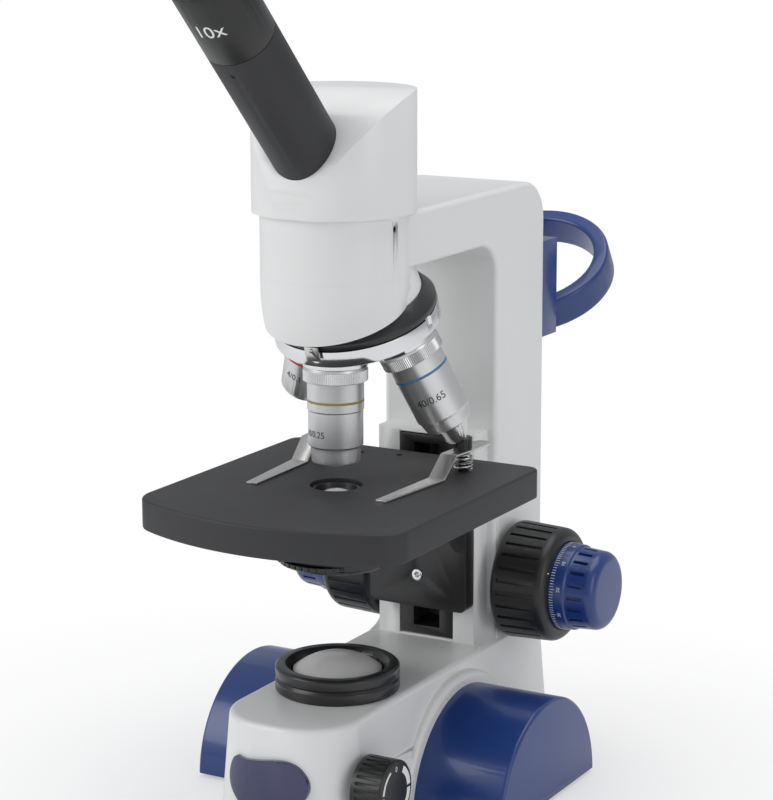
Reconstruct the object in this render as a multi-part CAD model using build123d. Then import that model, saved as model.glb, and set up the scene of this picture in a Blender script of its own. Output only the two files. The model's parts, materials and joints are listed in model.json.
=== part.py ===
from build123d import *
from math import acos, cos, pi, radians, sin, sqrt, tan
import os

# Monocular school microscope, in millimetres.
# The optical axis is the Z axis and the bench is z = 0.
# -Y is the front, where the eyepiece leans out, and +X is the side of the dimmer knob.

# Clearances
run_gap = 0.05
flat_gap = 0.3
part_gap = 0.1
eps = 1.0

# Base
pad_height = 1.5
base_top = 51.8
base_half_top = 27.0
base_half_foot = 31.5
base_front_top = 52.0
base_front_foot = 53.0
base_corner = 22.0
base_back_corner = 4.0
base_wall = 4.0
base_roof = 5.0
base_edge = 2.5

# Column and arm
column_half = 26.3
column_front = 84.7
column_back = 128.3
column_foot_round = 13.0
arm_top = 240.7
arm_under = 219.0
arm_inner_round = 13.0
arm_outer_round = 17.0
casting_edge = 2.0
duct_half = 16.0
duct_front = 111.0
duct_depth = 11.0
duct_top = 160.0

# Front end of the arm
neck_radius = 28.4
neck_low_radius = 23.6
neck_mid_radius = 27.3
neck_seam = 213.5
neck_low = 186.0
flange_height = 16.0
flange_radius = 27.3
flange_top_radius = 24.8
light_bore = 8.0
socket_radius = 20.05
socket_depth = 10.0
lock_screw_z = 236.2
lock_screw_turn = -6.0
lock_screw_radius = 1.5

# Slot in the column
rail_face = 73.0
slot_front_half = 22.4
slot_front_top = 141.0
channel_half = 12.7
channel_bottom = 52.3
channel_top = 139.5
channel_back = 107.6

# Focus drive
drive_y = 97.8
drive_z = 75.6
gear_module = 1.0
gear_teeth = 16
gear_half = 4.5
gear_backlash = 0.3
pressure_angle = 20.0
coarse_tube_radius = 6.0
fine_shaft_radius = 3.0
bush_radius = 9.0
bush_flange_radius = 12.0
bush_flange = 1.8
coarse_back = 28.6
coarse_width = 24.5
coarse_radius = 24.6
coarse_face_radius = 23.6
coarse_recess_radius = 18.6
coarse_recess = 2.2
coarse_round = 2.6
coarse_front_round = 4.3
coarse_flutes = 28
flute_depth = 0.9
flute_width = 1.5
dial_radius = 18.3
dial_width = 8.0
dial_edge = 0.5
fine_grip_radius = 17.0
fine_grip_end_radius = 16.2
fine_length = 21.0
fine_dome = 4.2
fine_flutes = 20

# Guide rails and focus slide
rail_front = 73.3
rail_back = 91.0
tongue_front_half = 5.8
tongue_back_half = 8.0
tongue_mid = 82.0
tongue_low = 70.4
tongue_top = 122.0
rail_bar = 3.6
fine_room = 0.6
slide_face = 72.8

# Stage bracket
bracket_half = 22.5
bracket_face = 65.4
bracket_back = 72.5
bracket_low = 67.3
bracket_arm_thick = 12.0
bracket_ring_radius = 24.0
bracket_ring_bore = 15.0
bracket_corner = 3.0
cap_screw_z = (81.0, 103.0)
cap_screw_radius = 2.4
cap_screw_shank = 1.5

# Stage
stage_top = 134.0
stage_thick = 12.0
stage_half = 57.4
stage_back = 63.5
stage_front = 68.2
stage_bow_radius = 115.0
stage_front_corner = 14.0
stage_back_corner = 5.0
stage_edge = 1.0
stage_aperture = 10.35
accessory_holes = ((-18.7, 51.5), (-2.4, 54.9))
accessory_hole_radius = 1.5
accessory_hole_depth = 8.0

# Stage clips
clip_x = 32.5
clip_y = 43.5
clip_turn = 3.6
clip_thick = 0.8
clip_rise = 8.0
clip_tail = 17.5
clip_bend_top = 10.5
clip_bend_low = 19.5
clip_reach = 59.5
clip_half = 3.7
clip_tip_half = 2.3
clip_screw_radius = 3.75
clip_screw_head = 5.2
clip_shank = 1.9
spring_radius = 4.0
spring_wire = 0.5
spring_turns = 4

# Condenser
condenser_radius = 24.0
condenser_low = 103.5
condenser_flange_top = 109.7
condenser_neck = 14.9
condenser_nose = 10.2
condenser_top = 132.8
condenser_bore = 8.3
condenser_light = 5.2
lens_gap = 0.05
disc_y = -8.0
disc_radius = 18.0
disc_thick = 1.6
disc_low = 105.6
disc_gap = 0.3
disc_pitch = 8.0
disc_holes = (5.0, 1.0, 4.0, 2.0, 3.0)
disc_pin = 1.5
disc_serrations = 36

# Nosepiece
apex_z = 241.5
nose_tilt = 20.0
seat_depth = 36.7
seat_radius = 28.0
seat_wide_radius = 32.2
seat_thick = 6.9
turret_gap = 0.4
turret_radius = 32.6
turret_rim = 3.6
shoulder_depth = 60.0
turret_wall = 5.0
boss_radius = 12.6
thread_radius = 10.16
thread_depth = 5.0
seat_light = 8.6
nose_hub = 7.0
nose_screw_radius = 3.0
nose_screw_head = 5.0
notch_radius = 1.9
detent_angle = 90.0

# Objectives: shoulder face at 0, light end along +Z
spigot_radius = 10.06
spigot_length = 4.4
collar_radius = 12.3
collar_length = 6.0
length_4x = 27.0
length_10x = 38.0
length_40x = 44.4
barrel_radius = 11.0
barrel_low_radius = 10.65
nose_10x_radius = 9.4
nose_40x_radius = 3.7
front_lens_4x = 5.5
front_lens_10x = 3.2
spring_nose_travel = 2.0

# Head and eyepiece tube
head_gap = 0.4
head_radius = 31.4
head_height = 46.0
head_round = 43.0
head_round_y = 12.4
head_wall = 3.0
head_base_thick = 3.0
head_spigot = 20.0
head_spigot_bore = 12.0
tube_z = 246.0
tube_tilt = 45.0
tube_radius = 13.6
tube_bore = 11.65
tube_start = 18.0
tube_end = 91.0
prism_size = 18.0
eyepiece_spigot = 11.6
eyepiece_spigot_length = 24.0
eyepiece_length = 33.0
eyepiece_bore = 9.6
eyepiece_rim = 3.0
eye_lens_radius = 9.55
tube_screw_radius = 1.2
tube_screw_back = 5.5

# Collector and lamp
collector_radius = 24.6
collector_height = 10.4
collector_bore = 17.6
collector_spigot = 18.9
collector_spigot_length = 5.0
collector_groove = 1.0
collector_lens_radius = 17.5
collector_lens_edge = 8.0
collector_lens_dome = 6.2
lamp_board_radius = 15.0
lamp_board_z = 36.0
lamp_board_thick = 1.6
lamp_post_radius = 2.4
lamp_post_offset = 21.6
lamp_radius = 4.0

# Dimmer
dimmer_y = -31.6
dimmer_z = 26.5
dimmer_radius = 12.5
dimmer_back = 31.0
dimmer_length = 13.2
dimmer_shaft = 3.0
dimmer_flutes = 28
dimmer_body = 7.0
dimmer_body_depth = 9.0
dimmer_body_end = 21.5

# Power inlet
inlet_x = 14.0
inlet_z = 14.0
inlet_radius = 5.5
inlet_socket = 3.0
inlet_flange = 7.0

# Side feet
foot_y = 47.4
foot_radius = 43.0
foot_outer = 70.0
foot_wall = 3.0
foot_edge = 1.5
foot_pad_boss = 6.0
arch_lip = 5.0
arch_round = 2.4

# Badge
badge_width = 35.0
badge_top = 38.5
badge_low = 12.0
badge_thick = 1.8

# Handle
handle_half = 24.5
handle_depth = 17.0
handle_low = 172.5
handle_top = 213.5
handle_round = 1.5
loop_y = 165.0
loop_z = 199.5
loop_half_x = 36.5
loop_half_y = 33.5
loop_width = 6.6
loop_height = 14.5
loop_tilt = 33.0
loop_edge = 1.6
handle_screw_x = 12.0
handle_screw_z = (190.0, 206.0)
handle_screw_radius = 2.0
handle_screw_head = 3.6

# Small parts
cover_thick = 2.0
cover_screw_radius = 1.8
cover_screw_head = 3.4
pad_radius = 6.5
pad_x = 18.5
pad_front = -38.0
pad_back = 116.0
cover_screw_x = 20.0
cover_screw_y = (-14.0, 98.0)
cover_boss_radius = 4.5
cover_screw_depth = 9.0
cover_seat = pad_height + cover_thick
dimmer_bush = 4.6
handle_screw_depth = 9.0
nose_screw_grip = 4.5
detent_gap = 1.5
detent_thick = 0.6
detent_half = 3.0
detent_rivet_up = 1.3
detent_rivet_radius = 0.8
detent_rivet_start = 30.0
detent_reach = 3.0


# Helpers
def cyl(radius, low, high):
    """Cylinder about Z between two heights."""
    return Pos(0, 0, (low + high) / 2) * Cylinder(radius, high - low)


def ring(outer, inner, low, high):
    """Plain ring about Z."""
    return cyl(outer, low, high) - cyl(inner, low - eps, high + eps)


def block(x0, x1, y0, y1, z0, z1):
    """Box between two corners."""
    return Pos((x0 + x1) / 2, (y0 + y1) / 2, (z0 + z1) / 2) * Box(x1 - x0, y1 - y0, z1 - z0)


def turned(points):
    """Solid of revolution about Z from (radius, z) corner points."""
    outline = Polyline(*[(r, 0, z) for r, z in points], close=True)
    return revolve(make_face(outline), Axis.Z)


def along_x(shape, x, y, z):
    """Turn a piece built along +Z so that it runs along +X from (x, y, z)."""
    return Pos(x, y, z) * Rot(0, 90, 0) * shape


def along_minus_x(shape, x, y, z):
    """The same towards -X."""
    return Pos(x, y, z) * Rot(0, -90, 0) * shape


def mirrored(shape):
    """Copy on the other side of the middle plane."""
    return mirror(shape, about=Plane.YZ)


def spread(piece, count, start=0.0):
    """Copies of a piece, evenly turned about Z."""
    return [Rot(0, 0, start + 360 / count * i) * piece for i in range(count)]


def joined(pieces):
    """Several separate solids kept in one sub-part."""
    solids = []
    for piece in pieces:
        solids.extend(piece.solids())
    return Compound(children=solids)


def spherical_cap(radius, height):
    """Plano-convex cap: flat face at z = 0, top at z = height."""
    ball = (radius * radius + height * height) / (2 * height)
    return Pos(0, 0, height - ball) * Sphere(ball) & cyl(radius, 0, height + eps)


def lens(radius, edge, dome):
    """Lens with a cylindrical edge and one domed face, flat face at z = 0."""
    return cyl(radius, 0, edge) + Pos(0, 0, edge) * spherical_cap(radius, dome)


def fluted(body, radius, depth, width, low, high, count):
    """Cut even grooves into the rim of a turned piece."""
    groove = block(radius - depth, radius + 2 * depth, -width / 2, width / 2, low, high)
    return body - spread(groove, count)


# Stand casting
def base_section(z, half, front, grow=0.0):
    """Plan outline of the base at one height, with round front corners."""
    back = column_back + min(grow, 0.0)
    length = front + back + grow
    outline = Pos(0, (back - front - grow) / 2) * Rectangle(2 * (half + grow), length)
    front_corners = outline.vertices().sort_by(Axis.Y)[:2]
    outline = fillet(front_corners, base_corner + grow)
    back_corners = outline.vertices().sort_by(Axis.Y)[-2:]
    outline = fillet(back_corners, base_back_corner)
    return Pos(0, 0, z) * outline


def base_body(low, high, grow=0.0):
    """Tapered base block between two heights, grown or shrunk sideways."""
    share_low = (low - pad_height) / (base_top - pad_height)
    share_high = (high - pad_height) / (base_top - pad_height)
    sections = []
    for z, share in ((low, share_low), (high, share_high)):
        half = base_half_foot + (base_half_top - base_half_foot) * share
        front = base_front_foot + (base_front_top - base_front_foot) * share
        sections.append(base_section(z, half, front, grow))
    return loft(sections, ruled=True)


def arch(radius, x_outer):
    """Half-round block across the base, where the side feet sit."""
    barrel = Cylinder(radius, 2 * x_outer)
    barrel = fillet(barrel.edges().filter_by(GeomType.CIRCLE), arch_round)
    barrel = Pos(0, foot_y, 0) * Rot(0, 90, 0) * barrel
    room = block(-x_outer - eps, x_outer + eps, foot_y - radius - eps, foot_y + radius + eps,
                 pad_height, radius + eps)
    return barrel & room


def c_profile():
    """Side outline of column and arm."""
    outline = Polyline(
        (0, arm_top),
        (column_back, arm_top),
        (column_back, pad_height),
        (column_front, pad_height),
        (column_front, arm_under),
        (0, arm_under),
        close=True,
    )
    face = make_face(outline)
    corners = face.vertices()
    outer = corners.filter_by(lambda v: v.X > column_back - eps and v.Y > arm_top - eps)
    face = fillet(outer, arm_outer_round)
    corners = face.vertices()
    inner = corners.filter_by(lambda v: abs(v.X - column_front) < eps and abs(v.Y - arm_under) < eps)
    return fillet(inner, arm_inner_round)


def column_and_arm():
    """Column and arm as one thick C, with rounded long edges."""
    body = extrude(Plane.YZ * c_profile(), amount=column_half, both=True)
    sides = body.faces().filter_by(Axis.X).edges()
    long_edges = sides.filter_by(lambda e: e.center().Y > eps and e.center().Z > base_top + eps)
    return fillet(long_edges, casting_edge)


def foot_round():
    """Concave fillet between the base's top and the column."""
    r = column_foot_round
    corner = block(-base_half_top, base_half_top, column_front - r, column_front + eps,
                   base_top - eps, base_top + r)
    hollow = Pos(0, column_front - r, base_top + r) * Rot(0, 90, 0) * Cylinder(r, 3 * base_half_top)
    side_trim = block(-column_half, column_half, column_front - r, column_front + eps,
                      base_top - eps, base_top + r)
    return (corner - hollow) & side_trim


def cut_plane():
    """Inclined plane that the nosepiece sits on, with its normal pointing up."""
    tilt = radians(nose_tilt)
    down = (0, sin(tilt), -cos(tilt))
    origin = (0, seat_depth * down[1], apex_z + seat_depth * down[2])
    return Plane(origin=origin, x_dir=(1, 0, 0), z_dir=(0, -down[1], -down[2]))


def neck():
    """Round front end of the arm, drawn in towards the nosepiece."""
    side = Polyline((0, 0, neck_low), (0, 0, arm_top), (neck_radius, 0, arm_top),
                    (neck_radius, 0, neck_seam))
    mid_z = (neck_seam + neck_low) / 2
    bulge = ThreePointArc((neck_radius, 0, neck_seam), (neck_mid_radius, 0, mid_z),
                          (neck_low_radius, 0, neck_low))
    floor = Line((neck_low_radius, 0, neck_low), (0, 0, neck_low))
    body = revolve(make_face(side + bulge + floor), Axis.Z)
    collar = turned([(0, seat_depth - flange_height), (flange_top_radius, seat_depth - flange_height),
                     (flange_radius, seat_depth), (0, seat_depth)])
    return split(body, bisect_by=cut_plane(), keep=Keep.TOP) + nose_place(collar)


def stand_casting():
    base = base_body(pad_height, base_top)
    top_rim = base.faces().sort_by(Axis.Z)[-1].edges()
    front_rim = top_rim.filter_by(lambda e: e.center().Y < column_front)
    base = fillet(front_rim, base_edge)
    slot_front = block(-slot_front_half, slot_front_half, rail_face, column_front + eps,
                       base_top - eps, slot_front_top)
    body = base + arch(foot_radius + arch_lip, base_half_foot)
    body = body + column_and_arm() + foot_round() + slot_front + neck()
    # hollow base, open below
    body -= base_body(pad_height - eps, base_top - base_roof, -base_wall)
    body -= block(-duct_half, duct_half, duct_front, duct_front + duct_depth,
                  base_top - base_roof - eps, duct_top)
    # slot for the guide rails
    body -= block(-channel_half, channel_half, rail_face - eps, channel_back,
                  channel_bottom, channel_top)
    # bearings of the focus drive
    body -= along_x(cyl(bush_radius, -column_half - eps, column_half + eps), 0, drive_y, drive_z)
    # light path, head socket and head lock screw
    body -= cyl(light_bore, neck_low - eps, arm_top + eps)
    body -= cyl(socket_radius, arm_top - socket_depth, arm_top + eps)
    screw_way = along_x(cyl(lock_screw_radius, socket_radius - eps, neck_radius + eps), 0, 0, 0)
    body -= Pos(0, 0, lock_screw_z) * Rot(0, 0, lock_screw_turn) * screw_way
    # turret centre screw
    body -= nose_place(cyl(nose_screw_radius, seat_depth - nose_screw_grip, seat_depth + eps))
    # collector, dimmer, inlet
    body -= cyl(collector_spigot + part_gap, base_top - base_roof - eps, base_top + eps)
    body -= along_x(cyl(dimmer_bush, 0, base_half_foot + eps), 0, dimmer_y, dimmer_z)
    body -= Pos(inlet_x, 0, inlet_z) * Rot(-90, 0, 0) * cyl(inlet_radius, duct_front, column_back + eps)
    # posts for the lamp board
    for side in (-1, 1):
        post = cyl(lamp_post_radius, lamp_board_z + lamp_board_thick, base_top - base_roof + eps)
        body += Pos(side * lamp_post_offset, 0, 0) * post
    # screw bosses for the cover
    for x, y in cover_points():
        boss = Pos(x, y, 0) * cyl(cover_boss_radius, cover_seat, base_top - base_roof + eps)
        hole = Pos(x, y, 0) * cyl(cover_screw_radius, cover_seat - eps, cover_seat + cover_screw_depth)
        body = body + boss - hole
    # screw holes for the handle
    for x, z in handle_screw_points():
        body -= Pos(x, 0, z) * Rot(-90, 0, 0) * cyl(
            handle_screw_radius, column_back - handle_screw_depth, column_back + eps)
    return body


# Base cover, pads and feet
def cover_points():
    """Places of the four cover screws."""
    return [(side * cover_screw_x, y) for side in (-1, 1) for y in cover_screw_y]


def base_cover():
    plate = base_body(pad_height, cover_seat, -base_wall - part_gap)
    for x, y in cover_points():
        plate -= Pos(x, y, 0) * cyl(cover_screw_radius + part_gap, 0, cover_seat + eps)
        plate -= Pos(x, y, 0) * cyl(cover_screw_head + part_gap, 0, pad_height + cover_thick / 2)
    return plate


def cover_screws():
    screws = []
    for x, y in cover_points():
        head = cyl(cover_screw_head, pad_height, pad_height + cover_thick / 2)
        shank = cyl(cover_screw_radius, pad_height, cover_seat + cover_screw_depth - eps)
        screws.append(Pos(x, y, 0) * (head + shank))
    return joined(screws)


def pad_points():
    """Places of the six rubber pads: four under the base, two under the side feet."""
    side = foot_outer - foot_wall - pad_radius
    return [(-pad_x, pad_front), (pad_x, pad_front), (-pad_x, pad_back), (pad_x, pad_back),
            (-side, foot_y), (side, foot_y)]


def rubber_pads():
    pads = [Pos(x, y, 0) * cyl(pad_radius, 0, pad_height) for x, y in pad_points()]
    return joined(pads)


def side_foot():
    """Right-hand foot: half-round shell, closed at its outer end."""
    barrel = cyl(foot_radius, base_half_foot, foot_outer)
    rim = barrel.edges().sort_by(Axis.Z)[-1]
    barrel = fillet(rim, foot_edge)
    room = cyl(foot_radius - foot_wall, base_half_foot - eps, foot_outer - foot_wall)
    shell = Pos(0, foot_y, 0) * Rot(0, 90, 0) * (barrel - room)
    keep = block(base_half_foot - eps, foot_outer + eps, foot_y - foot_radius - eps,
                 foot_y + foot_radius + eps, pad_height, foot_radius + eps)
    shell &= keep
    # seat for the pad, and the ribs that carry it
    side = foot_outer - foot_wall - pad_radius
    floor = block(side - pad_radius, foot_outer - foot_wall, foot_y - pad_radius, foot_y + pad_radius,
                  pad_height, pad_height + foot_wall)
    rib = block(side - foot_wall / 2, side + foot_wall / 2, foot_y - foot_radius + foot_wall / 2,
                foot_y + foot_radius - foot_wall / 2, pad_height, foot_pad_boss + foot_wall)
    return shell + floor + rib


def badge():
    """Domed plate that follows the rounded front of the base."""
    half = badge_width / 2
    mid = (badge_top + badge_low) / 2
    outline = make_face(Spline(
        (-half * 0.72, badge_top - 0.6), (0, badge_top), (half * 0.72, badge_top - 0.6),
        (half, mid + 4.5), (half * 0.62, mid - 6.5), (0, badge_low),
        (-half * 0.62, mid - 6.5), (-half, mid + 4.5), periodic=True))
    prism = extrude(Plane.XZ * outline, amount=base_front_foot + base_corner)
    skin = base_body(badge_low - 2, badge_top + 2, badge_thick) - base_body(badge_low - 3, badge_top + 3)
    piece = prism & skin
    return piece


# Collector and lamp
def collector_ring():
    groove = collector_groove
    top = base_top + collector_height
    mid = base_top + collector_height / 2
    points = [
        (collector_bore, base_top - collector_spigot_length), (collector_spigot, base_top - collector_spigot_length),
        (collector_spigot, base_top), (collector_radius - groove / 2, base_top),
        (collector_radius, base_top + groove / 2), (collector_radius, mid - groove),
        (collector_radius - groove, mid), (collector_radius, mid + groove),
        (collector_radius, top - groove), (collector_radius - groove, top),
        (collector_lens_radius + 3 * groove, top), (collector_lens_radius + groove, top - groove * 2.4),
        (collector_lens_radius + part_gap, collector_seat), (collector_bore - 3 * groove, collector_seat),
        (collector_bore - 3 * groove, base_top),
    ]
    return turned(points)


collector_seat = base_top + collector_height - 6.0


def collector_lens():
    edge = base_top + collector_height - 2.4 - collector_seat
    return Pos(0, 0, collector_seat) * lens(collector_lens_radius, edge, collector_lens_dome)


def led_board():
    board = cyl(lamp_board_radius, lamp_board_z, lamp_board_z + lamp_board_thick)
    ears = block(-lamp_post_offset - lamp_post_radius, lamp_post_offset + lamp_post_radius,
                 -lamp_post_radius, lamp_post_radius, lamp_board_z, lamp_board_z + lamp_board_thick)
    return board + ears


def led_emitter():
    seat = lamp_board_z + lamp_board_thick
    body = cyl(lamp_radius, seat, seat + lamp_radius / 2)
    return body + Pos(0, 0, seat + lamp_radius / 2) * spherical_cap(lamp_radius * 0.8, lamp_radius * 0.6)


# Dimmer
def dimmer_pot():
    """Potentiometer behind the wall, with the bush that its shaft runs in."""
    body = cyl(dimmer_body, dimmer_body_end - dimmer_body_depth, dimmer_body_end)
    bush = cyl(dimmer_bush - part_gap, dimmer_body_end, dimmer_back - flat_gap)
    way = cyl(dimmer_shaft + run_gap, dimmer_body_end - dimmer_body_depth + 2, dimmer_back)
    return along_x(body + bush - way, 0, dimmer_y, dimmer_z)


def dimmer_shaft_piece():
    piece = cyl(dimmer_shaft, dimmer_body_end - dimmer_body_depth + 2 + flat_gap,
                dimmer_back + dimmer_length / 2)
    return along_x(piece, 0, dimmer_y, dimmer_z)


def dimmer_knob():
    body = cyl(dimmer_radius, 0, dimmer_length)
    body = chamfer(body.edges().sort_by(Axis.Z)[-1], 0.7)
    body = fluted(body, dimmer_radius, 0.6, 1.2, 2.0, dimmer_length - 2.0, dimmer_flutes)
    body -= cyl(dimmer_shaft, -eps, dimmer_length / 2)
    return along_x(body, dimmer_back, dimmer_y, dimmer_z)


def power_inlet():
    """Barrel socket with its flange on the back of the base."""
    start = column_back - base_wall - 9.0
    body = cyl(inlet_radius - part_gap, start, column_back) + cyl(inlet_flange, column_back, column_back + 1.6)
    body -= cyl(inlet_socket, start + 2.0, column_back + 2 * eps)
    body += cyl(inlet_socket / 3, start, column_back)
    return Pos(inlet_x, 0, inlet_z) * Rot(-90, 0, 0) * body


# Handle
def handle_screw_points():
    return [(side * handle_screw_x, z) for side in (-1, 1) for z in handle_screw_z]


def loop_plane(offset):
    """Plane of the grip loop, moved along its own normal."""
    tilt = radians(loop_tilt)
    normal = (0, -sin(tilt), cos(tilt))
    origin = (0, loop_y + offset * normal[1], loop_z + offset * normal[2])
    return Plane(origin=origin, x_dir=(1, 0, 0), z_dir=normal)


def handle():
    plate = block(-handle_half, handle_half, column_back, column_back + handle_depth,
                  handle_low, handle_top)
    plate = fillet(plate.faces().sort_by(Axis.Y)[-1].edges(), handle_round)
    outer = Ellipse(loop_half_x, loop_half_y)
    inner = Ellipse(loop_half_x - loop_width, loop_half_y - loop_width)
    band = extrude(loop_plane(-loop_height) * (outer - inner), amount=loop_height)
    band = fillet(band.edges().filter_by(GeomType.ELLIPSE), loop_edge)
    behind = block(-3 * handle_half, 3 * handle_half, column_back, loop_y + 2 * loop_half_y,
                   0, loop_z + 2 * loop_half_y)
    body = plate + (band & behind)
    for x, z in handle_screw_points():
        hole = cyl(handle_screw_radius + part_gap, column_back - eps, column_back + handle_depth + eps)
        sink = cyl(handle_screw_head + part_gap, column_back + handle_depth - 3.2,
                   column_back + handle_depth + loop_half_y / 3)
        body -= Pos(x, 0, z) * Rot(-90, 0, 0) * (hole + sink)
    return body


def handle_screws():
    screws = []
    for x, z in handle_screw_points():
        head_end = column_back + handle_depth - 0.4
        head = cyl(handle_screw_head, head_end - 2.8, head_end)
        shank = cyl(handle_screw_radius, column_back - handle_screw_depth + eps, head_end - 1.0)
        socket = extrude(RegularPolygon(1.5, 6), amount=1.6)
        screws.append(Pos(x, 0, z) * Rot(-90, 0, 0) * (head + shank - Pos(0, 0, head_end - 1.5) * socket))
    return joined(screws)


# Focus drive
pitch_radius = gear_module * gear_teeth / 2
rack_pitch = pi * gear_module
rack_line = drive_y - pitch_radius


def involute_half_angle(radius):
    """Half of a tooth's angle at one radius, in radians."""
    base = pitch_radius * cos(radians(pressure_angle))
    at_pitch = tan(radians(pressure_angle)) - radians(pressure_angle)
    alpha = acos(base / radius)
    here = tan(alpha) - alpha
    half = (rack_pitch / 2 - gear_backlash) / (2 * pitch_radius)
    return half + at_pitch - here


def pinion():
    """Spur pinion with involute flanks, teeth about Z."""
    root = pitch_radius - 1.25 * gear_module
    tip = pitch_radius + 0.95 * gear_module
    base = pitch_radius * cos(radians(pressure_angle))
    steps = [base + (tip - base) * i / 4 for i in range(5)]
    right = [(r * cos(-involute_half_angle(r)), r * sin(-involute_half_angle(r))) for r in steps]
    left = [(x, -y) for x, y in reversed(right)]
    foot = involute_half_angle(base)
    start = [((root - 0.3) * cos(-foot), (root - 0.3) * sin(-foot))]
    end = [(start[0][0], -start[0][1])]
    tooth = extrude(make_face(Polyline(*(start + right + left + end), close=True)), amount=gear_half, both=True)
    half_step = 180 / gear_teeth
    return cyl(root, -gear_half, gear_half) + spread(tooth, gear_teeth, half_step)


def coarse_shaft():
    end = coarse_back + coarse_width - coarse_recess - flat_gap
    body = pinion() + cyl(coarse_tube_radius, -end, end)
    body -= cyl(fine_shaft_radius + run_gap, -end - eps, end + eps)
    return Pos(0, drive_y, drive_z) * Rot(0, 90, 0) * body


def shaft_bush():
    inner = channel_half + part_gap
    body = cyl(bush_radius - part_gap / 2, inner, column_half) + cyl(
        bush_flange_radius, column_half, column_half + bush_flange)
    return body - cyl(coarse_tube_radius + run_gap, inner - eps, column_half + bush_flange + eps)


def coarse_knob():
    """Knob about Z with its back at 0."""
    width = coarse_width
    body = turned([(0, 0), (coarse_radius, 0), (coarse_face_radius, width), (0, width)])
    rims = body.edges().filter_by(GeomType.CIRCLE).sort_by(Axis.Z)
    body = fillet(rims[0], coarse_round)
    rims = body.edges().filter_by(GeomType.CIRCLE).sort_by(Axis.Z)
    body = fillet(rims[-1], coarse_front_round)
    body = fluted(body, coarse_radius - 0.4, flute_depth, flute_width,
                  coarse_round + 0.8, width - coarse_front_round - 0.4, coarse_flutes)
    body -= cyl(coarse_recess_radius, width - coarse_recess, width + eps)
    body -= cyl(coarse_tube_radius, -eps, width - coarse_recess - flat_gap)
    body -= cyl(fine_shaft_radius + run_gap, 0, width + eps)
    return body


def fine_knob():
    """Graduated ring, fluted grip and domed end about Z, back of the ring at 0."""
    grip_start = dial_width
    grip_end = fine_length - fine_dome
    body = turned([(0, 0), (dial_radius - dial_edge, 0), (dial_radius, dial_edge),
                   (dial_radius - dial_edge, grip_start), (fine_grip_radius, grip_start + dial_edge),
                   (fine_grip_end_radius, fine_length), (0, fine_length)])
    body = fillet(body.edges().filter_by(GeomType.CIRCLE).sort_by(Axis.Z)[-1], fine_dome)
    body = fluted(body, fine_grip_radius - 0.5, flute_depth, flute_width, grip_start + 1.4,
                  grip_end - 1.2, fine_flutes)
    return body - cyl(fine_shaft_radius, -eps, grip_end)


def fine_shaft():
    end = fine_back + fine_length - fine_dome
    return along_x(cyl(fine_shaft_radius, -end, end), 0, drive_y, drive_z)


fine_back = coarse_back + coarse_width - coarse_recess + flat_gap


# Guide, slide and bracket
def tongue_section(gap):
    """Dovetail tongue in plan, grown by a gap."""
    front = slide_face - gap
    return make_face(Polyline(
        (-tongue_front_half - gap, front), (tongue_front_half + gap, front),
        (tongue_back_half + gap, tongue_mid), (tongue_back_half + gap, rack_line - 2.2 + gap),
        (-tongue_back_half - gap, rack_line - 2.2 + gap), (-tongue_back_half - gap, tongue_mid),
        close=True))


def guide_block():
    """Two dovetail rails joined by a bar above and below."""
    low = channel_bottom + fine_room
    high = channel_top - fine_room
    half = channel_half - part_gap
    body = block(-half, half, rail_front, rail_back, low, high)
    way = Pos(0, 0, low + rail_bar) * extrude(tongue_section(part_gap), amount=high - low - 2 * rail_bar)
    rack_way = block(-tongue_back_half - part_gap, tongue_back_half + part_gap, tongue_mid, rail_back + eps,
                     low + rail_bar, high - rail_bar)
    return body - way - rack_way


def focus_slide():
    """Dovetail tongue with a rack on its back and slots for the bracket's screws."""
    height = tongue_top - tongue_low
    body = Pos(0, 0, tongue_low) * extrude(tongue_section(0), amount=height)
    spine = block(-gear_half, gear_half, rack_line - 2.3, rack_line - 1.2, tongue_low, tongue_top)
    tooth_half = (rack_pitch / 2 - gear_backlash) / 2
    lean = tan(radians(pressure_angle))
    root_y = -1.25 * gear_module
    tip_y = 0.95 * gear_module
    tooth = make_face(Polyline(
        (root_y, -tooth_half + root_y * lean), (tip_y, -tooth_half + tip_y * lean),
        (tip_y, tooth_half - tip_y * lean), (root_y, tooth_half - root_y * lean), close=True))
    tooth = extrude(Plane.YZ * tooth, amount=gear_half, both=True)
    first = -int((drive_z - tongue_low) / rack_pitch)
    teeth = [Pos(0, rack_line, drive_z + rack_pitch * i) * tooth for i in range(first + 1, first + 9)]
    body = body + spine + teeth
    for z in cap_screw_z:
        slot = Pos(0, 0, z) * Rot(-90, 0, 0) * cyl(cap_screw_shank + 1.0, slide_face - eps, slide_face + 7.0)
        body -= slot
    return body


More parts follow.
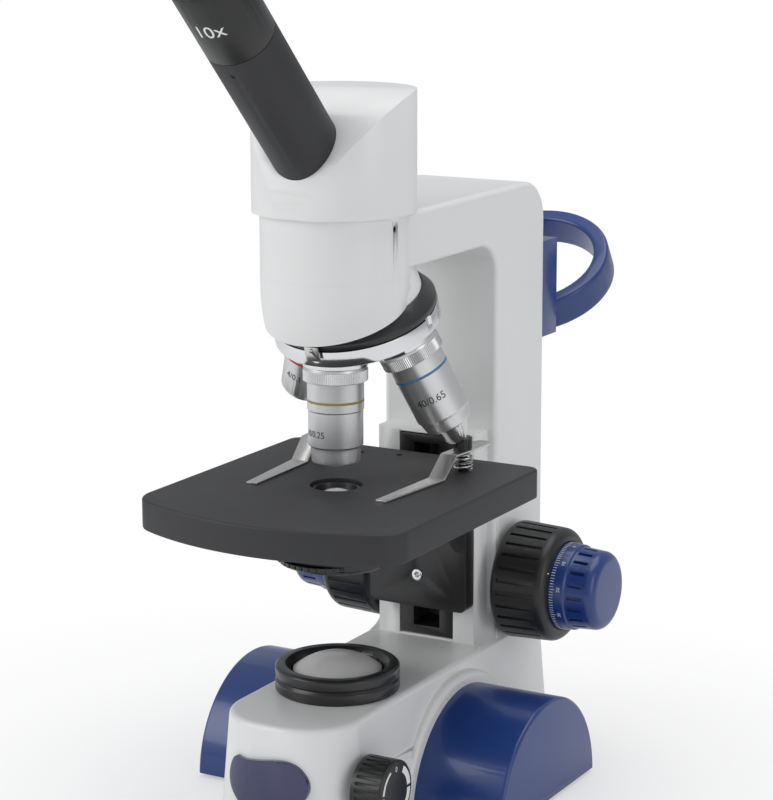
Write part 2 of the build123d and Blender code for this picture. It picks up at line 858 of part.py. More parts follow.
def stage_bracket():
    """Upright plate and a level arm that carries stage and condenser."""
    seat = stage_top - stage_thick
    plate = block(-bracket_half, bracket_half, bracket_face, bracket_back, bracket_low, seat)
    low_edges = plate.edges().filter_by(Axis.Y).sort_by(Axis.Z)[:2]
    plate = fillet(low_edges, bracket_corner)
    arm = block(-bracket_half, bracket_half, 0, bracket_back, seat - bracket_arm_thick, seat)
    nose = cyl(bracket_ring_radius, seat - bracket_arm_thick, seat)
    body = plate + arm + nose - cyl(bracket_ring_bore, 0, seat + eps)
    body -= cyl(condenser_radius + part_gap, seat - bracket_arm_thick - eps, condenser_flange_top + part_gap)
    gusset = make_face(Polyline(
        (bracket_face, seat - bracket_arm_thick), (bracket_face, seat - 2.4 * bracket_arm_thick),
        (bracket_face - 1.4 * bracket_arm_thick, seat - bracket_arm_thick), close=True))
    for side in (-1, 1):
        body += Pos(side * (bracket_half - 3), 0, 0) * extrude(Plane.YZ * gusset, amount=2, both=True)
    for z in cap_screw_z:
        way = cyl(cap_screw_shank, bracket_face - eps, bracket_back + eps)
        sink = cyl(cap_screw_radius + part_gap, bracket_face - eps, bracket_face + 2.6)
        body -= Pos(0, 0, z) * Rot(-90, 0, 0) * (way + sink)
    for x, y in stage_screw_points():
        way = cyl(stage_screw_radius, seat - bracket_arm_thick - eps, seat + eps)
        sink = cyl(stage_screw_head + part_gap, seat - bracket_arm_thick - eps, seat - bracket_arm_thick + 3.2)
        body -= Pos(x, y, 0) * (way + sink)
    return body


stage_screw_radius = 1.9
stage_screw_head = 3.4


def stage_screw_points():
    return [(side * (bracket_half - 8), bracket_face - y) for side in (-1, 1) for y in (22.0, 36.0)]


def bracket_screws():
    screws = []
    for z in cap_screw_z:
        head = cyl(cap_screw_radius, bracket_face - 0.3, bracket_face + 2.6)
        shank = cyl(cap_screw_shank, bracket_face, slide_face + 6.0)
        socket = Pos(0, 0, bracket_face - 0.3) * extrude(RegularPolygon(1.3, 6), amount=1.8)
        screws.append(Pos(0, 0, z) * Rot(-90, 0, 0) * (head + shank - socket))
    return joined(screws)


def stage_screws():
    seat = stage_top - stage_thick
    low = seat - bracket_arm_thick
    screws = []
    for x, y in stage_screw_points():
        head = cyl(stage_screw_head, low + 0.2, low + 3.2)
        shank = cyl(stage_screw_radius, low + 0.2, seat + stage_thick * 0.6 - eps)
        screws.append(Pos(x, y, 0) * (head + shank))
    return joined(screws)


# Stage and clips
def stage_outline():
    """Plan of the stage: straight back and sides, bowed front, round corners."""
    bow = stage_bow_radius
    side_y = -stage_front + bow - sqrt(bow * bow - stage_half * stage_half)
    outline = Polyline((stage_half, side_y), (stage_half, stage_back), (-stage_half, stage_back),
                       (-stage_half, side_y))
    front = ThreePointArc((-stage_half, side_y), (0, -stage_front), (stage_half, side_y))
    face = make_face(outline + front)
    face = fillet(face.vertices().sort_by(Axis.Y)[:2], stage_front_corner)
    return fillet(face.vertices().sort_by(Axis.Y)[-2:], stage_back_corner)


def stage_plate():
    low = stage_top - stage_thick
    body = Pos(0, 0, low) * extrude(stage_outline(), amount=stage_thick)
    rims = body.faces().sort_by(Axis.Z)[-1].edges() + body.faces().sort_by(Axis.Z)[0].edges()
    body = fillet(rims, stage_edge)
    body -= cyl(stage_aperture, low - eps, stage_top + eps)
    for x, y in accessory_holes:
        body -= Pos(x, y, 0) * cyl(accessory_hole_radius, stage_top - accessory_hole_depth, stage_top + eps)
    for x, y in stage_screw_points():
        body -= Pos(x, y, 0) * cyl(stage_screw_radius, low - eps, low + stage_thick * 0.6)
    for side in (-1, 1):
        body -= Pos(side * clip_x, clip_y, 0) * cyl(clip_shank, low + 2, stage_top + eps)
    return body


def clip():
    """Bent spring strip, pivot at the origin, stage top at z = 0."""
    base = part_gap
    high = clip_rise
    points = [(clip_tail, high), (-clip_bend_top, high), (-clip_bend_low, base), (-clip_reach, base)]
    upper = [(y, z + clip_thick) for y, z in reversed(points)]
    strip = extrude(Plane.YZ * make_face(Polyline(*(points + upper), close=True)), amount=clip_half, both=True)
    plan = make_face(Polyline((-clip_tip_half, -clip_reach - eps), (clip_tip_half, -clip_reach - eps),
                              (clip_half, -clip_bend_low), (clip_half, clip_tail - clip_half),
                              (-clip_half, clip_tail - clip_half), (-clip_half, -clip_bend_low), close=True))
    tail = Pos(0, clip_tail - clip_half) * Circle(clip_half)
    body = strip & Pos(0, 0, -eps) * extrude(plan + tail, amount=clip_rise + 3)
    return body - cyl(clip_shank + run_gap, 0, clip_rise + 3)


def clip_place(piece, side):
    """Put a clip piece on its screw, right (+1) or left (-1)."""
    placed = Pos(clip_x, clip_y, stage_top) * Rot(0, 0, clip_turn * -1) * piece
    return placed if side > 0 else mirrored(placed)


def clip_screws():
    strip_top = clip_rise + clip_thick
    head = cyl(clip_screw_radius, strip_top + part_gap, strip_top + clip_screw_head)
    head = chamfer(head.edges().sort_by(Axis.Z)[-1], 0.5)
    head = fluted(head, clip_screw_radius, 0.35, 0.5, strip_top + 0.9, strip_top + clip_screw_head - 0.9, 18)
    shank = cyl(clip_shank, -stage_thick + 3, strip_top + 1)
    return joined([clip_place(head + shank, side) for side in (1, -1)])


def clip_springs():
    """Open coil between the stage and each clip, with flat ground ends."""
    height = clip_rise - 2 * spring_wire - 4 * part_gap
    path = Pos(0, 0, spring_wire + 2 * part_gap) * Helix(height / spring_turns, height, spring_radius - spring_wire)
    start = path @ 0
    wire = Plane(origin=start, z_dir=path % 0) * RegularPolygon(spring_wire, 6)
    coil = sweep(wire, path=path)
    return joined([clip_place(coil, side) for side in (1, -1)])


# Condenser
def condenser_housing():
    seat = stage_top - stage_thick
    points = [(0, condenser_low), (condenser_radius - 3.0, condenser_low),
              (condenser_radius, condenser_low + 2.0), (condenser_radius, condenser_flange_top),
              (condenser_neck, condenser_flange_top), (condenser_neck, seat - part_gap),
              (condenser_nose, seat - part_gap), (condenser_nose, condenser_top), (0, condenser_top)]
    body = turned(points)
    body -= cyl(condenser_light, condenser_low - eps, condenser_top)
    body -= cyl(condenser_bore, condenser_flange_top + 2.0, seat - 3.0)
    body -= cyl(condenser_bore, seat - 3.0 + 1.5, condenser_top + eps)
    body -= cyl(condenser_bore - 1.2, seat - 3.0 - eps, seat)
    pocket = cyl(disc_radius + disc_gap, disc_low - disc_gap, disc_low + disc_thick + disc_gap)
    body -= Pos(0, disc_y, 0) * pocket
    body -= Pos(0, disc_y, 0) * cyl(disc_pin + run_gap / 2, condenser_low - eps, condenser_flange_top - 1)
    return body


def condenser_lenses():
    seat = stage_top - stage_thick
    lower = Pos(0, 0, condenser_flange_top + 2.0) * lens(condenser_bore - lens_gap, 2.4, 2.6)
    upper = Pos(0, 0, seat - 3.0 + 1.5) * lens(condenser_bore - lens_gap, 8.6, 3.4)
    return joined([lower, upper])


def diaphragm_disc():
    body = cyl(disc_radius, disc_low, disc_low + disc_thick)
    body = fluted(body, disc_radius, 0.4, 0.8, disc_low - eps, disc_low + disc_thick + eps, disc_serrations)
    for i, radius in enumerate(disc_holes):
        turn = 90 + 360 / len(disc_holes) * i
        body -= Rot(0, 0, turn) * Pos(disc_pitch, 0, 0) * cyl(radius, disc_low - eps, disc_low + 2 * disc_thick)
    body -= cyl(disc_pin + run_gap, disc_low - eps, disc_low + disc_thick + eps)
    return Pos(0, disc_y, 0) * body


def diaphragm_pin():
    return Pos(0, disc_y, 0) * cyl(disc_pin, condenser_low, condenser_flange_top - 1)


# Nosepiece
def nose_axis():
    tilt = radians(nose_tilt)
    return (0, sin(tilt), -cos(tilt))


def nose_place(piece):
    """Turret frame: apex of the turret's cone at the origin, +Z along its axis."""
    plane = Plane(origin=(0, 0, apex_z), x_dir=(1, 0, 0), z_dir=nose_axis())
    return plane.location * piece


def seat_direction(index):
    """Light direction of one turret seat: 0 in use, then at quarter turns."""
    tilt = radians(nose_tilt)
    turn = radians(90 * index)
    k = nose_axis()
    radial = (sin(tilt) * sin(turn), -cos(tilt) * sin(tilt) * cos(turn), -sin(tilt) ** 2 * cos(turn))
    return tuple(cos(tilt) * k[i] + radial[i] for i in range(3))


def objective_place(piece, index):
    """Objective frame: shoulder face at the origin, +Z towards the specimen."""
    d = seat_direction(index)
    origin = tuple(shoulder_depth * c + (apex_z if i == 2 else 0) for i, c in enumerate(d))
    return Plane(origin=origin, x_dir=(1, 0, 0) if index % 2 == 0 else (0, 1, 0), z_dir=d).location * piece


def seat_bore(piece_radius, start, end):
    """The four seat bores or bosses, measured from the apex."""
    pieces = []
    for index in range(4):
        d = seat_direction(index)
        frame = Plane(origin=(0, 0, apex_z), x_dir=(1, 0, 0) if index % 2 == 0 else (0, 1, 0), z_dir=d)
        pieces.append(frame.location * cyl(piece_radius, start, end))
    return pieces


def nosepiece_seat():
    """Fixed black dome under the arm, with the light hole and a centre post."""
    low = seat_depth
    high = seat_depth + seat_thick
    body = turned([(0, low), (seat_radius, low), (seat_wide_radius, high - 2.2),
                   (seat_wide_radius, high), (seat_wide_radius - 3, high),
                   (seat_wide_radius - 3, low + 3.2), (nose_hub, low + 3.2), (nose_hub, high), (0, high)])
    body -= cyl(nose_screw_radius + run_gap, low - eps, high + eps)
    body = nose_place(body)
    body -= cyl(light_bore, neck_low - 3 * eps, arm_top)
    return body - detent_rivet(detent_rivet_radius)


def turret():
    """Turning dome with four seats at quarter turns and stop notches in its rim."""
    top = seat_depth + seat_thick + turret_gap
    ball = shoulder_depth
    outer = cyl(turret_radius, top, ball + eps) & Sphere(ball)
    room_radius = turret_radius - turret_wall
    inner = cyl(room_radius, top - eps, ball) & Sphere(ball - turret_wall)
    body = outer - inner + (cyl(nose_hub, top, ball) & Sphere(ball))
    notch = Pos(turret_radius + 0.5, 0, 0) * cyl(notch_radius, top - eps, top + turret_rim)
    body -= spread(notch, 4, detent_angle - 180)
    body -= cyl(nose_screw_radius + run_gap, top - eps, ball + eps)
    body -= cyl(nose_screw_head + part_gap, ball - 2.0, ball + eps)
    body = nose_place(body)
    shell_keep = nose_place(cyl(turret_radius + boss_radius, top, ball + boss_radius) - cyl(nose_hub - 1, top - eps, ball * 2))
    bosses = [b & shell_keep for b in seat_bore(boss_radius, shoulder_depth - turret_wall - 1.5, shoulder_depth)]
    body = body + bosses
    threads = seat_bore(thread_radius, shoulder_depth - thread_depth, shoulder_depth + eps)
    lights = seat_bore(seat_light, seat_depth, shoulder_depth)
    for thread, light in zip(threads, lights):
        body -= thread + light
    return body


def nosepiece_screw():
    ball = shoulder_depth
    head = cyl(nose_screw_head, ball - 2.0 + flat_gap / 3, ball + 0.6)
    shank = cyl(nose_screw_radius, seat_depth - nose_screw_grip + eps, ball - 1.0)
    slot = block(-nose_screw_head - eps, nose_screw_head + eps, -0.5, 0.5, ball - 0.4, ball + eps)
    return nose_place(head + shank - slot)


def detent_rivet(radius):
    """Rivet through the rim of the fixed dome, in the turret frame."""
    depth = seat_depth + seat_thick - detent_rivet_up
    length = seat_wide_radius + detent_gap + detent_thick - detent_rivet_start
    shank = Rot(0, 90, 0) * cyl(radius, 0, length + detent_thick)
    return nose_place(Rot(0, 0, detent_angle) * Pos(detent_rivet_start, 0, depth) * shank)


def detent_spring():
    """Strip riveted beside the fixed dome, reaching down to a ball in the rim's notch."""
    start = seat_wide_radius + detent_gap
    middle = start + detent_thick / 2
    low = seat_depth + seat_thick - 2 * detent_rivet_up
    rim = seat_depth + seat_thick + turret_gap
    strip = block(start, start + detent_thick, -detent_half, detent_half, low, rim + detent_reach)
    ball = Pos(start, 0, rim + turret_rim / 2) * Sphere(start - turret_radius - part_gap)
    ball &= block(0, middle, -detent_half, detent_half, low, rim + 2 * detent_reach)
    return nose_place(Rot(0, 0, detent_angle) * (strip + ball)) + detent_rivet(detent_rivet_radius)


# Objectives
def objective(length, low_radius, nose_radius, nose_length, bore):
    """Turned objective: thread spigot, collar, barrel, nose."""
    step = 0.4
    nose_start = length - nose_length
    points = [(bore, -spigot_length), (spigot_radius, -spigot_length), (spigot_radius, 0),
              (collar_radius - step, 0), (collar_radius, step), (collar_radius, collar_length - step),
              (collar_radius - step, collar_length), (barrel_radius, collar_length),
              (barrel_radius, min(length * 0.45, nose_start - 2)),
              (low_radius, min(length * 0.45, nose_start - 2) + step),
              (low_radius, nose_start), (nose_radius + step, nose_start + step * 2),
              (nose_radius, length - step), (nose_radius - step, length), (bore, length)]
    return turned(points)


def objective_4x():
    body = objective(length_4x, barrel_low_radius, barrel_low_radius - 1.0, 2.0, front_lens_4x)
    return objective_place(body, 3)


def objective_10x():
    body = objective(length_10x, barrel_low_radius, nose_10x_radius, 7.0, front_lens_10x + 2)
    tip = ring(nose_10x_radius - 0.6, front_lens_10x, length_10x - 2.5, length_10x)
    return objective_place(body + tip, 0)


def objective_40x_barrel():
    shell_end = length_40x - 8.0
    bore = 8.0
    step = 0.4
    body = turned([(bore, -spigot_length), (spigot_radius, -spigot_length), (spigot_radius, 0),
                   (collar_radius - step, 0), (collar_radius, step), (collar_radius, collar_length - step),
                   (collar_radius - step, collar_length), (barrel_radius, collar_length),
                   (barrel_radius, shell_end - 5.5), (barrel_radius - 0.5, shell_end - 5.0),
                   (bore + 1.4, shell_end), (bore, shell_end)])
    return objective_place(body, 1)


def objective_40x_nose():
    """Sprung cell: stem that runs in the barrel, cone and front face."""
    shell_end = length_40x - 8.0
    stem = 8.0 - run_gap
    body = turned([(front_lens_10x, shell_end - 14.0), (stem, shell_end - 14.0), (stem, shell_end + 0.2),
                   (stem - 0.6, shell_end + 1.0), (nose_40x_radius + 1.2, length_40x - 1.6),
                   (nose_40x_radius, length_40x), (front_lens_40x, length_40x),
                   (front_lens_40x, length_40x - 2), (front_lens_10x, length_40x - 3)])
    return objective_place(body, 1)


front_lens_40x = 1.6


def objective_lenses():
    """Front lenses of the 4x and the 10x."""
    low = objective_place(Pos(0, 0, length_4x - 4.5) * lens(front_lens_4x, 2.5, 1.0), 3)
    mid = objective_place(Pos(0, 0, length_10x - 3.0) * lens(front_lens_10x, 1.8, 0.7), 0)
    return joined([low, mid])


def objective_40x_lens():
    body = Pos(0, 0, length_40x - 2.0) * cyl(front_lens_40x, 0, 1.8)
    return objective_place(body, 1)


# Head and eyepiece
head_low = arm_top + head_gap


def head_profile(inset):
    """Side outline of the head: quarter-round top falling to the front."""
    top = head_low + head_height
    centre_z = top - head_round
    r = head_round - inset
    reach = head_radius + 2 * eps
    front_y = head_round_y - r
    low = head_low + head_base_thick * (inset > 0)
    arc = ThreePointArc((front_y, centre_z), (head_round_y - r * cos(pi / 4), centre_z + r * sin(pi / 4)),
                        (head_round_y, centre_z + r))
    rest = Polyline((head_round_y, centre_z + r), (reach, centre_z + r), (reach, low),
                    (front_y, low), (front_y, centre_z))
    return extrude(Plane.YZ * make_face(arc + rest), amount=2 * head_radius, both=True)


def tube_place(piece):
    """Tube frame: +Z along the tube, origin on the optical axis."""
    tilt = radians(tube_tilt)
    plane = Plane(origin=(0, 0, tube_z), x_dir=(1, 0, 0), z_dir=(0, -cos(tilt), sin(tilt)))
    return plane.location * piece


def head_shell():
    """Thin white shell with the hole that the tube passes through."""
    outer = cyl(head_radius, head_low, head_low + head_height) & head_profile(0)
    seat = head_low + head_base_thick
    inner = cyl(head_radius - head_wall, head_low - eps, head_low + head_height) & head_profile(head_wall)
    body = outer - inner - cyl(head_radius - head_wall, head_low - eps, seat + eps / 2)
    return body - tube_place(cyl(tube_radius + run_gap, tube_start, tube_end))


def head_base():
    """Base disc of the head and the spigot that turns in the arm."""
    spigot_low = arm_top - socket_depth + flat_gap
    groove_z = lock_screw_z
    body = cyl(head_radius - head_wall - part_gap, head_low, head_low + head_base_thick)
    body += cyl(head_spigot, spigot_low, head_low + eps / 2)
    groove = ring(head_spigot + eps, head_spigot - 1.0, groove_z - lock_screw_radius - 0.4,
                  groove_z + lock_screw_radius + 0.4)
    body -= groove
    return body - cyl(head_spigot_bore, spigot_low - eps, head_low + head_base_thick + eps)


def head_prism():
    """Reflecting prism on the head's base, in its side cheeks."""
    seat = head_low + head_base_thick
    half = prism_size / 2
    outline = make_face(Polyline((-half, seat), (half + 4, seat), (half + 4, seat + 6), (half - 3, seat + prism_size),
                                 (-half + 5, seat + prism_size * 0.72), (-half, seat + 6), close=True))
    return extrude(Plane.YZ * outline, amount=half + 4, both=True) - tube_place(
        cyl(tube_radius + part_gap, tube_start - flat_gap, tube_end))


def eyepiece_tube():
    body = ring(tube_radius, tube_bore, tube_start, tube_end)
    screw_way = Pos(tube_bore - eps, 0, tube_end - tube_screw_back) * Rot(0, 90, 0) * cyl(
        tube_screw_radius, 0, tube_radius)
    body -= Rot(0, 0, tube_screw_turn) * screw_way
    return tube_place(body)


tube_screw_turn = -85.0


def eyepiece_lock_screw():
    screw = Pos(tube_bore + 0.15, 0, tube_end - tube_screw_back) * Rot(0, 90, 0) * cyl(
        tube_screw_radius - run_gap / 2, 0, tube_radius - tube_bore - 0.3)
    return tube_place(Rot(0, 0, tube_screw_turn) * screw)


def eyepiece_barrel():
    """Eyepiece: spigot in the tube, barrel above it, cupped rim."""
    start = tube_end + part_gap
    top = start + eyepiece_length
    low = start - eyepiece_spigot_length
    points = [(eyepiece_bore, low), (eyepiece_spigot, low), (eyepiece_spigot, start), (tube_radius, start),
              (tube_radius, top - eyepiece_rim), (tube_radius - 0.8, top - 0.8), (tube_radius - 1.8, top),
              (tube_radius - 2.8, top - 0.3), (eyepiece_bore, top - eyepiece_rim)]
    return tube_place(turned(points))


def eye_lens():
    top = tube_end + part_gap + eyepiece_length
    return tube_place(Pos(0, 0, top - eyepiece_rim - 5.5) * lens(eye_lens_radius, 3.2, 1.4))


def field_lens():
    low = tube_end + part_gap - eyepiece_spigot_length
    return tube_place(Pos(0, 0, low + 0.6) * lens(eye_lens_radius, 2.6, 1.6))


def head_lock_screw():
    screw = cyl(lock_screw_radius - run_gap / 2, head_spigot + flat_gap, neck_radius - 1.0)
    socket = Pos(0, 0, neck_radius - 3.0) * extrude(RegularPolygon(0.9, 6), amount=3)
    return Pos(0, 0, lock_screw_z) * Rot(0, 0, lock_screw_turn) * along_x(screw - socket, 0, 0, 0)


# Knob placing
def at_drive(piece, start, side):
    """Put a knob or bush on the focus axis, right (+1) or left (-1)."""
    placed = along_x(piece, start, drive_y, drive_z)
    return placed if side > 0 else mirrored(placed)


parts = {
    "stand_casting": stand_casting(),
    "base_cover": base_cover(),
    "cover_screws": cover_screws(),
    "rubber_pads": rubber_pads(),
    "foot_right": side_foot(),
    "foot_left": mirrored(side_foot()),
    "badge": badge(),
    "collector_ring": collector_ring(),
    "collector_lens": collector_lens(),
    "led_board": led_board(),
    "led_emitter": led_emitter(),
    "dimmer_pot": dimmer_pot(),
    "dimmer_shaft": dimmer_shaft_piece(),
    "dimmer_knob": dimmer_knob(),
    "power_inlet": power_inlet(),
    "handle": handle(),
    "handle_screws": handle_screws(),
    "shaft_bushes": joined([at_drive(shaft_bush(), 0, 1), at_drive(shaft_bush(), 0, -1)]),
    "coarse_shaft": coarse_shaft(),
    "coarse_knob_right": at_drive(coarse_knob(), coarse_back, 1),
    "coarse_knob_left": at_drive(coarse_knob(), coarse_back, -1),
    "fine_shaft": fine_shaft(),
    "fine_knob_right": at_drive(fine_knob(), fine_back, 1),
    "fine_knob_left": at_drive(fine_knob(), fine_back, -1),
    "guide_block": guide_block(),
    "focus_slide": focus_slide(),
    "stage_bracket": stage_bracket(),
    "bracket_screws": bracket_screws(),
    "stage_plate": stage_plate(),
    "stage_screws": stage_screws(),
    "clip_right": clip_place(clip(), 1),
    "clip_left": clip_place(clip(), -1),
    "clip_screws": clip_screws(),
    "clip_springs": clip_springs(),
    "condenser_housing": condenser_housing(),
    "condenser_lenses": condenser_lenses(),
    "diaphragm_disc": diaphragm_disc(),
    "diaphragm_pin": diaphragm_pin(),
    "nosepiece_seat": nosepiece_seat(),
    "turret": turret(),
    "nosepiece_screw": nosepiece_screw(),
    "detent_spring": detent_spring(),
    "objective_4x": objective_4x(),
    "objective_10x": objective_10x(),
    "objective_40x_barrel": objective_40x_barrel(),
    "objective_40x_nose": objective_40x_nose(),
    "objective_40x_lens": objective_40x_lens(),
    "objective_lenses": objective_lenses(),
    "head_base": head_base(),
    "head_shell": head_shell(),
    "head_prism": head_prism(),
    "head_lock_screw": head_lock_screw(),
    "eyepiece_tube": eyepiece_tube(),
    "eyepiece_lock_screw": eyepiece_lock_screw(),
    "eyepiece_barrel": eyepiece_barrel(),
    "eye_lens": eye_lens(),
    "field_lens": field_lens(),
}

os.makedirs("parts", exist_ok=True)
for name, shape in parts.items():
    export_step(shape, f"parts/{name}.step")
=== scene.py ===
# %% [markdown]
# Dressing a school microscope for a studio picture.
# The imported model is loaded as a fixed frame. Its solids already have the right shapes and places,
# so this lesson gives them real finishes and adds the small things that a maker prints, knurls or
# fits last: scales, coloured rings and index marks. The plain badge is the model's own solid, given a
# finish.

# %% Load the frame
import json
from math import cos, pi, radians, sin

import bpy
from mathutils import Matrix, Vector

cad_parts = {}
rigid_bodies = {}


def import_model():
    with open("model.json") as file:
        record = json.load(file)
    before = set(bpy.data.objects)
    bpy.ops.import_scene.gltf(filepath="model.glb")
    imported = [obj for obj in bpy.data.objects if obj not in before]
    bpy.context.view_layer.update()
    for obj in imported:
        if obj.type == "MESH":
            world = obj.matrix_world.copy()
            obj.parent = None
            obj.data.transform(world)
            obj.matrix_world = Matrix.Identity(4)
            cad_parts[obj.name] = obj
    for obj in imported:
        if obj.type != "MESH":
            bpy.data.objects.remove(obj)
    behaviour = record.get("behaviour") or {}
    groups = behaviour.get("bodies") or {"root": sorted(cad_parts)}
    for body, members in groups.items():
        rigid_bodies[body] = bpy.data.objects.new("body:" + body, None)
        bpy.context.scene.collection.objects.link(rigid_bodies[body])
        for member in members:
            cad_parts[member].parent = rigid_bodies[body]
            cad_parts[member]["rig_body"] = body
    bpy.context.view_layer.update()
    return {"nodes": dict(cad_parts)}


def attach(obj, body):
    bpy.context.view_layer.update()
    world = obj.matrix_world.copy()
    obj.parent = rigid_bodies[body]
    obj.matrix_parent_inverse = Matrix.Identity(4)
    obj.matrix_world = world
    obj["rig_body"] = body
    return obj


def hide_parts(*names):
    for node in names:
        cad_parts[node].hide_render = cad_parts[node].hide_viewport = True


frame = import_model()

MM = 0.001

# %% [markdown]
# Every piece has its own axis: the optical axis, the focus axis, the tilted turret axis and the
# axes of the objectives. They are written once here, so that each later cell can place a piece by
# naming its axis. A frame is a matrix whose Z column runs along the axis.

# %% Axes of the instrument
TILT = radians(20)
APEX = Vector((0, 0, 0.2415))
TURRET_AXIS = Vector((0, sin(TILT), -cos(TILT)))
SHOULDER = 0.060
DRIVE = Vector((0, 0.0978, 0.0756))
TUBE_FOOT = Vector((0, 0, 0.246))
TUBE_AXIS = Vector((0, -1, 1)).normalized()


def axis_frame(origin, axis, across=(1, 0, 0)):
    """Matrix with its origin at a point, Z along the axis and X as near as can be to 'across'."""
    z = Vector(axis).normalized()
    y = z.cross(Vector(across)).normalized()
    x = y.cross(z)
    m = Matrix((x, y, z)).transposed().to_4x4()
    m.translation = Vector(origin)
    return m


def seat_axis(index):
    """Direction of one turret seat: 0 in use, then by quarter turns."""
    turn = radians(90 * index)
    across = Vector((sin(turn), -cos(TILT) * cos(turn), -sin(TILT) * cos(turn)))
    return cos(TILT) * TURRET_AXIS + sin(TILT) * across


print("seats", [tuple(round(v, 3) for v in seat_axis(i)) for i in range(4)])

# %% [markdown]
# Finishes come from a few effects that several materials share. Each effect is a node group with
# named inputs and outputs, made once. "Grain" gives a height for fine bumps, and "Patches" gives a
# slow change from place to place, which real paint, plastic and metal all show a little.

# %% Shared effects
def new_group(name, inputs, outputs):
    group = bpy.data.node_groups.new(name, "ShaderNodeTree")
    for label, kind, value in inputs:
        socket = group.interface.new_socket(name=label, in_out="INPUT", socket_type=kind)
        socket.default_value = value
    for label, kind in outputs:
        group.interface.new_socket(name=label, in_out="OUTPUT", socket_type=kind)
    start = group.nodes.new("NodeGroupInput")
    end = group.nodes.new("NodeGroupOutput")
    return group, start, end


def math_node(nodes, kind, second=0.0):
    node = nodes.new("ShaderNodeMath")
    node.operation = kind
    node.inputs[1].default_value = second
    return node


def make_grain():
    """Fine bumps: one noise at the given scale and a finer one on top."""
    group, start, end = new_group(
        "Grain", [("Scale", "NodeSocketFloat", 900.0), ("Finer", "NodeSocketFloat", 3.0)],
        [("Height", "NodeSocketFloat")])
    nodes, links = group.nodes, group.links
    place = nodes.new("ShaderNodeTexCoord")
    coarse = nodes.new("ShaderNodeTexNoise")
    fine = nodes.new("ShaderNodeTexNoise")
    times = math_node(nodes, "MULTIPLY")
    mix = math_node(nodes, "ADD")
    half = math_node(nodes, "MULTIPLY", second=0.5)
    links.new(place.outputs["Object"], coarse.inputs["Vector"])
    links.new(place.outputs["Object"], fine.inputs["Vector"])
    links.new(start.outputs["Scale"], coarse.inputs["Scale"])
    links.new(start.outputs["Scale"], times.inputs[0])
    links.new(start.outputs["Finer"], times.inputs[1])
    links.new(times.outputs[0], fine.inputs["Scale"])
    links.new(coarse.outputs["Fac"], mix.inputs[0])
    links.new(fine.outputs["Fac"], mix.inputs[1])
    links.new(mix.outputs[0], half.inputs[0])
    links.new(half.outputs[0], end.inputs["Height"])
    return group


def make_patches():
    """Slow changes: a colour that wanders between two tones, and a roughness that wanders."""
    group, start, end = new_group(
        "Patches",
        [("Colour", "NodeSocketColor", (0.5, 0.5, 0.5, 1)), ("Other", "NodeSocketColor", (0.4, 0.4, 0.4, 1)),
         ("Scale", "NodeSocketFloat", 25.0), ("Rough", "NodeSocketFloat", 0.4),
         ("Swing", "NodeSocketFloat", 0.1)],
        [("Colour", "NodeSocketColor"), ("Rough", "NodeSocketFloat")])
    nodes, links = group.nodes, group.links
    place = nodes.new("ShaderNodeTexCoord")
    noise = nodes.new("ShaderNodeTexNoise")
    noise.inputs["Detail"].default_value = 5
    mix = nodes.new("ShaderNodeMix")
    mix.data_type = "RGBA"
    centred = math_node(nodes, "SUBTRACT", second=0.5)
    swing = math_node(nodes, "MULTIPLY")
    rough = math_node(nodes, "ADD")
    links.new(place.outputs["Object"], noise.inputs["Vector"])
    links.new(start.outputs["Scale"], noise.inputs["Scale"])
    links.new(noise.outputs["Fac"], mix.inputs["Factor"])
    links.new(start.outputs["Colour"], mix.inputs["A"])
    links.new(start.outputs["Other"], mix.inputs["B"])
    links.new(noise.outputs["Fac"], centred.inputs[0])
    links.new(centred.outputs[0], swing.inputs[0])
    links.new(start.outputs["Swing"], swing.inputs[1])
    links.new(swing.outputs[0], rough.inputs[0])
    links.new(start.outputs["Rough"], rough.inputs[1])
    links.new(mix.outputs["Result"], end.inputs["Colour"])
    links.new(rough.outputs[0], end.inputs["Rough"])
    return group


GRAIN = make_grain()
PATCHES = make_patches()
print("groups", [g.name for g in bpy.data.node_groups])

# %% [markdown]
# A finish is one Principled shader fed by those two effects. Constant numbers such as metal, coat
# and transmission are typed on the shader itself, so that they survive an export. One helper makes
# them all, because the white paint, the black paint and the blue plastic differ only in numbers.

# %% One recipe for every finish
def finish(name, colour, other, rough, grain, depth, swing=0.08, patch=25.0, metal=0.0, coat=0.0,
           coat_rough=0.1, glass=0.0, ior=1.5):
    """Material from two close colours, a roughness, and bumps of 'depth' mm at the scale 'grain'."""
    mat = bpy.data.materials.new(name)
    mat.use_nodes = True
    nodes, links = mat.node_tree.nodes, mat.node_tree.links
    shader = nodes["Principled BSDF"]
    patches = nodes.new("ShaderNodeGroup")
    patches.node_tree = PATCHES
    patches.inputs["Colour"].default_value = (*colour, 1)
    patches.inputs["Other"].default_value = (*other, 1)
    patches.inputs["Scale"].default_value = patch
    patches.inputs["Rough"].default_value = rough
    patches.inputs["Swing"].default_value = swing
    links.new(patches.outputs["Colour"], shader.inputs["Base Color"])
    links.new(patches.outputs["Rough"], shader.inputs["Roughness"])
    grains = nodes.new("ShaderNodeGroup")
    grains.node_tree = GRAIN
    grains.inputs["Scale"].default_value = grain
    bump = nodes.new("ShaderNodeBump")
    bump.inputs["Distance"].default_value = depth * MM
    bump.inputs["Strength"].default_value = 1.0
    links.new(grains.outputs["Height"], bump.inputs["Height"])
    links.new(bump.outputs["Normal"], shader.inputs["Normal"])
    shader.inputs["Metallic"].default_value = metal
    shader.inputs["Coat Weight"].default_value = coat
    shader.inputs["Coat Roughness"].default_value = coat_rough
    shader.inputs["Transmission Weight"].default_value = glass
    shader.inputs["IOR"].default_value = ior
    return mat


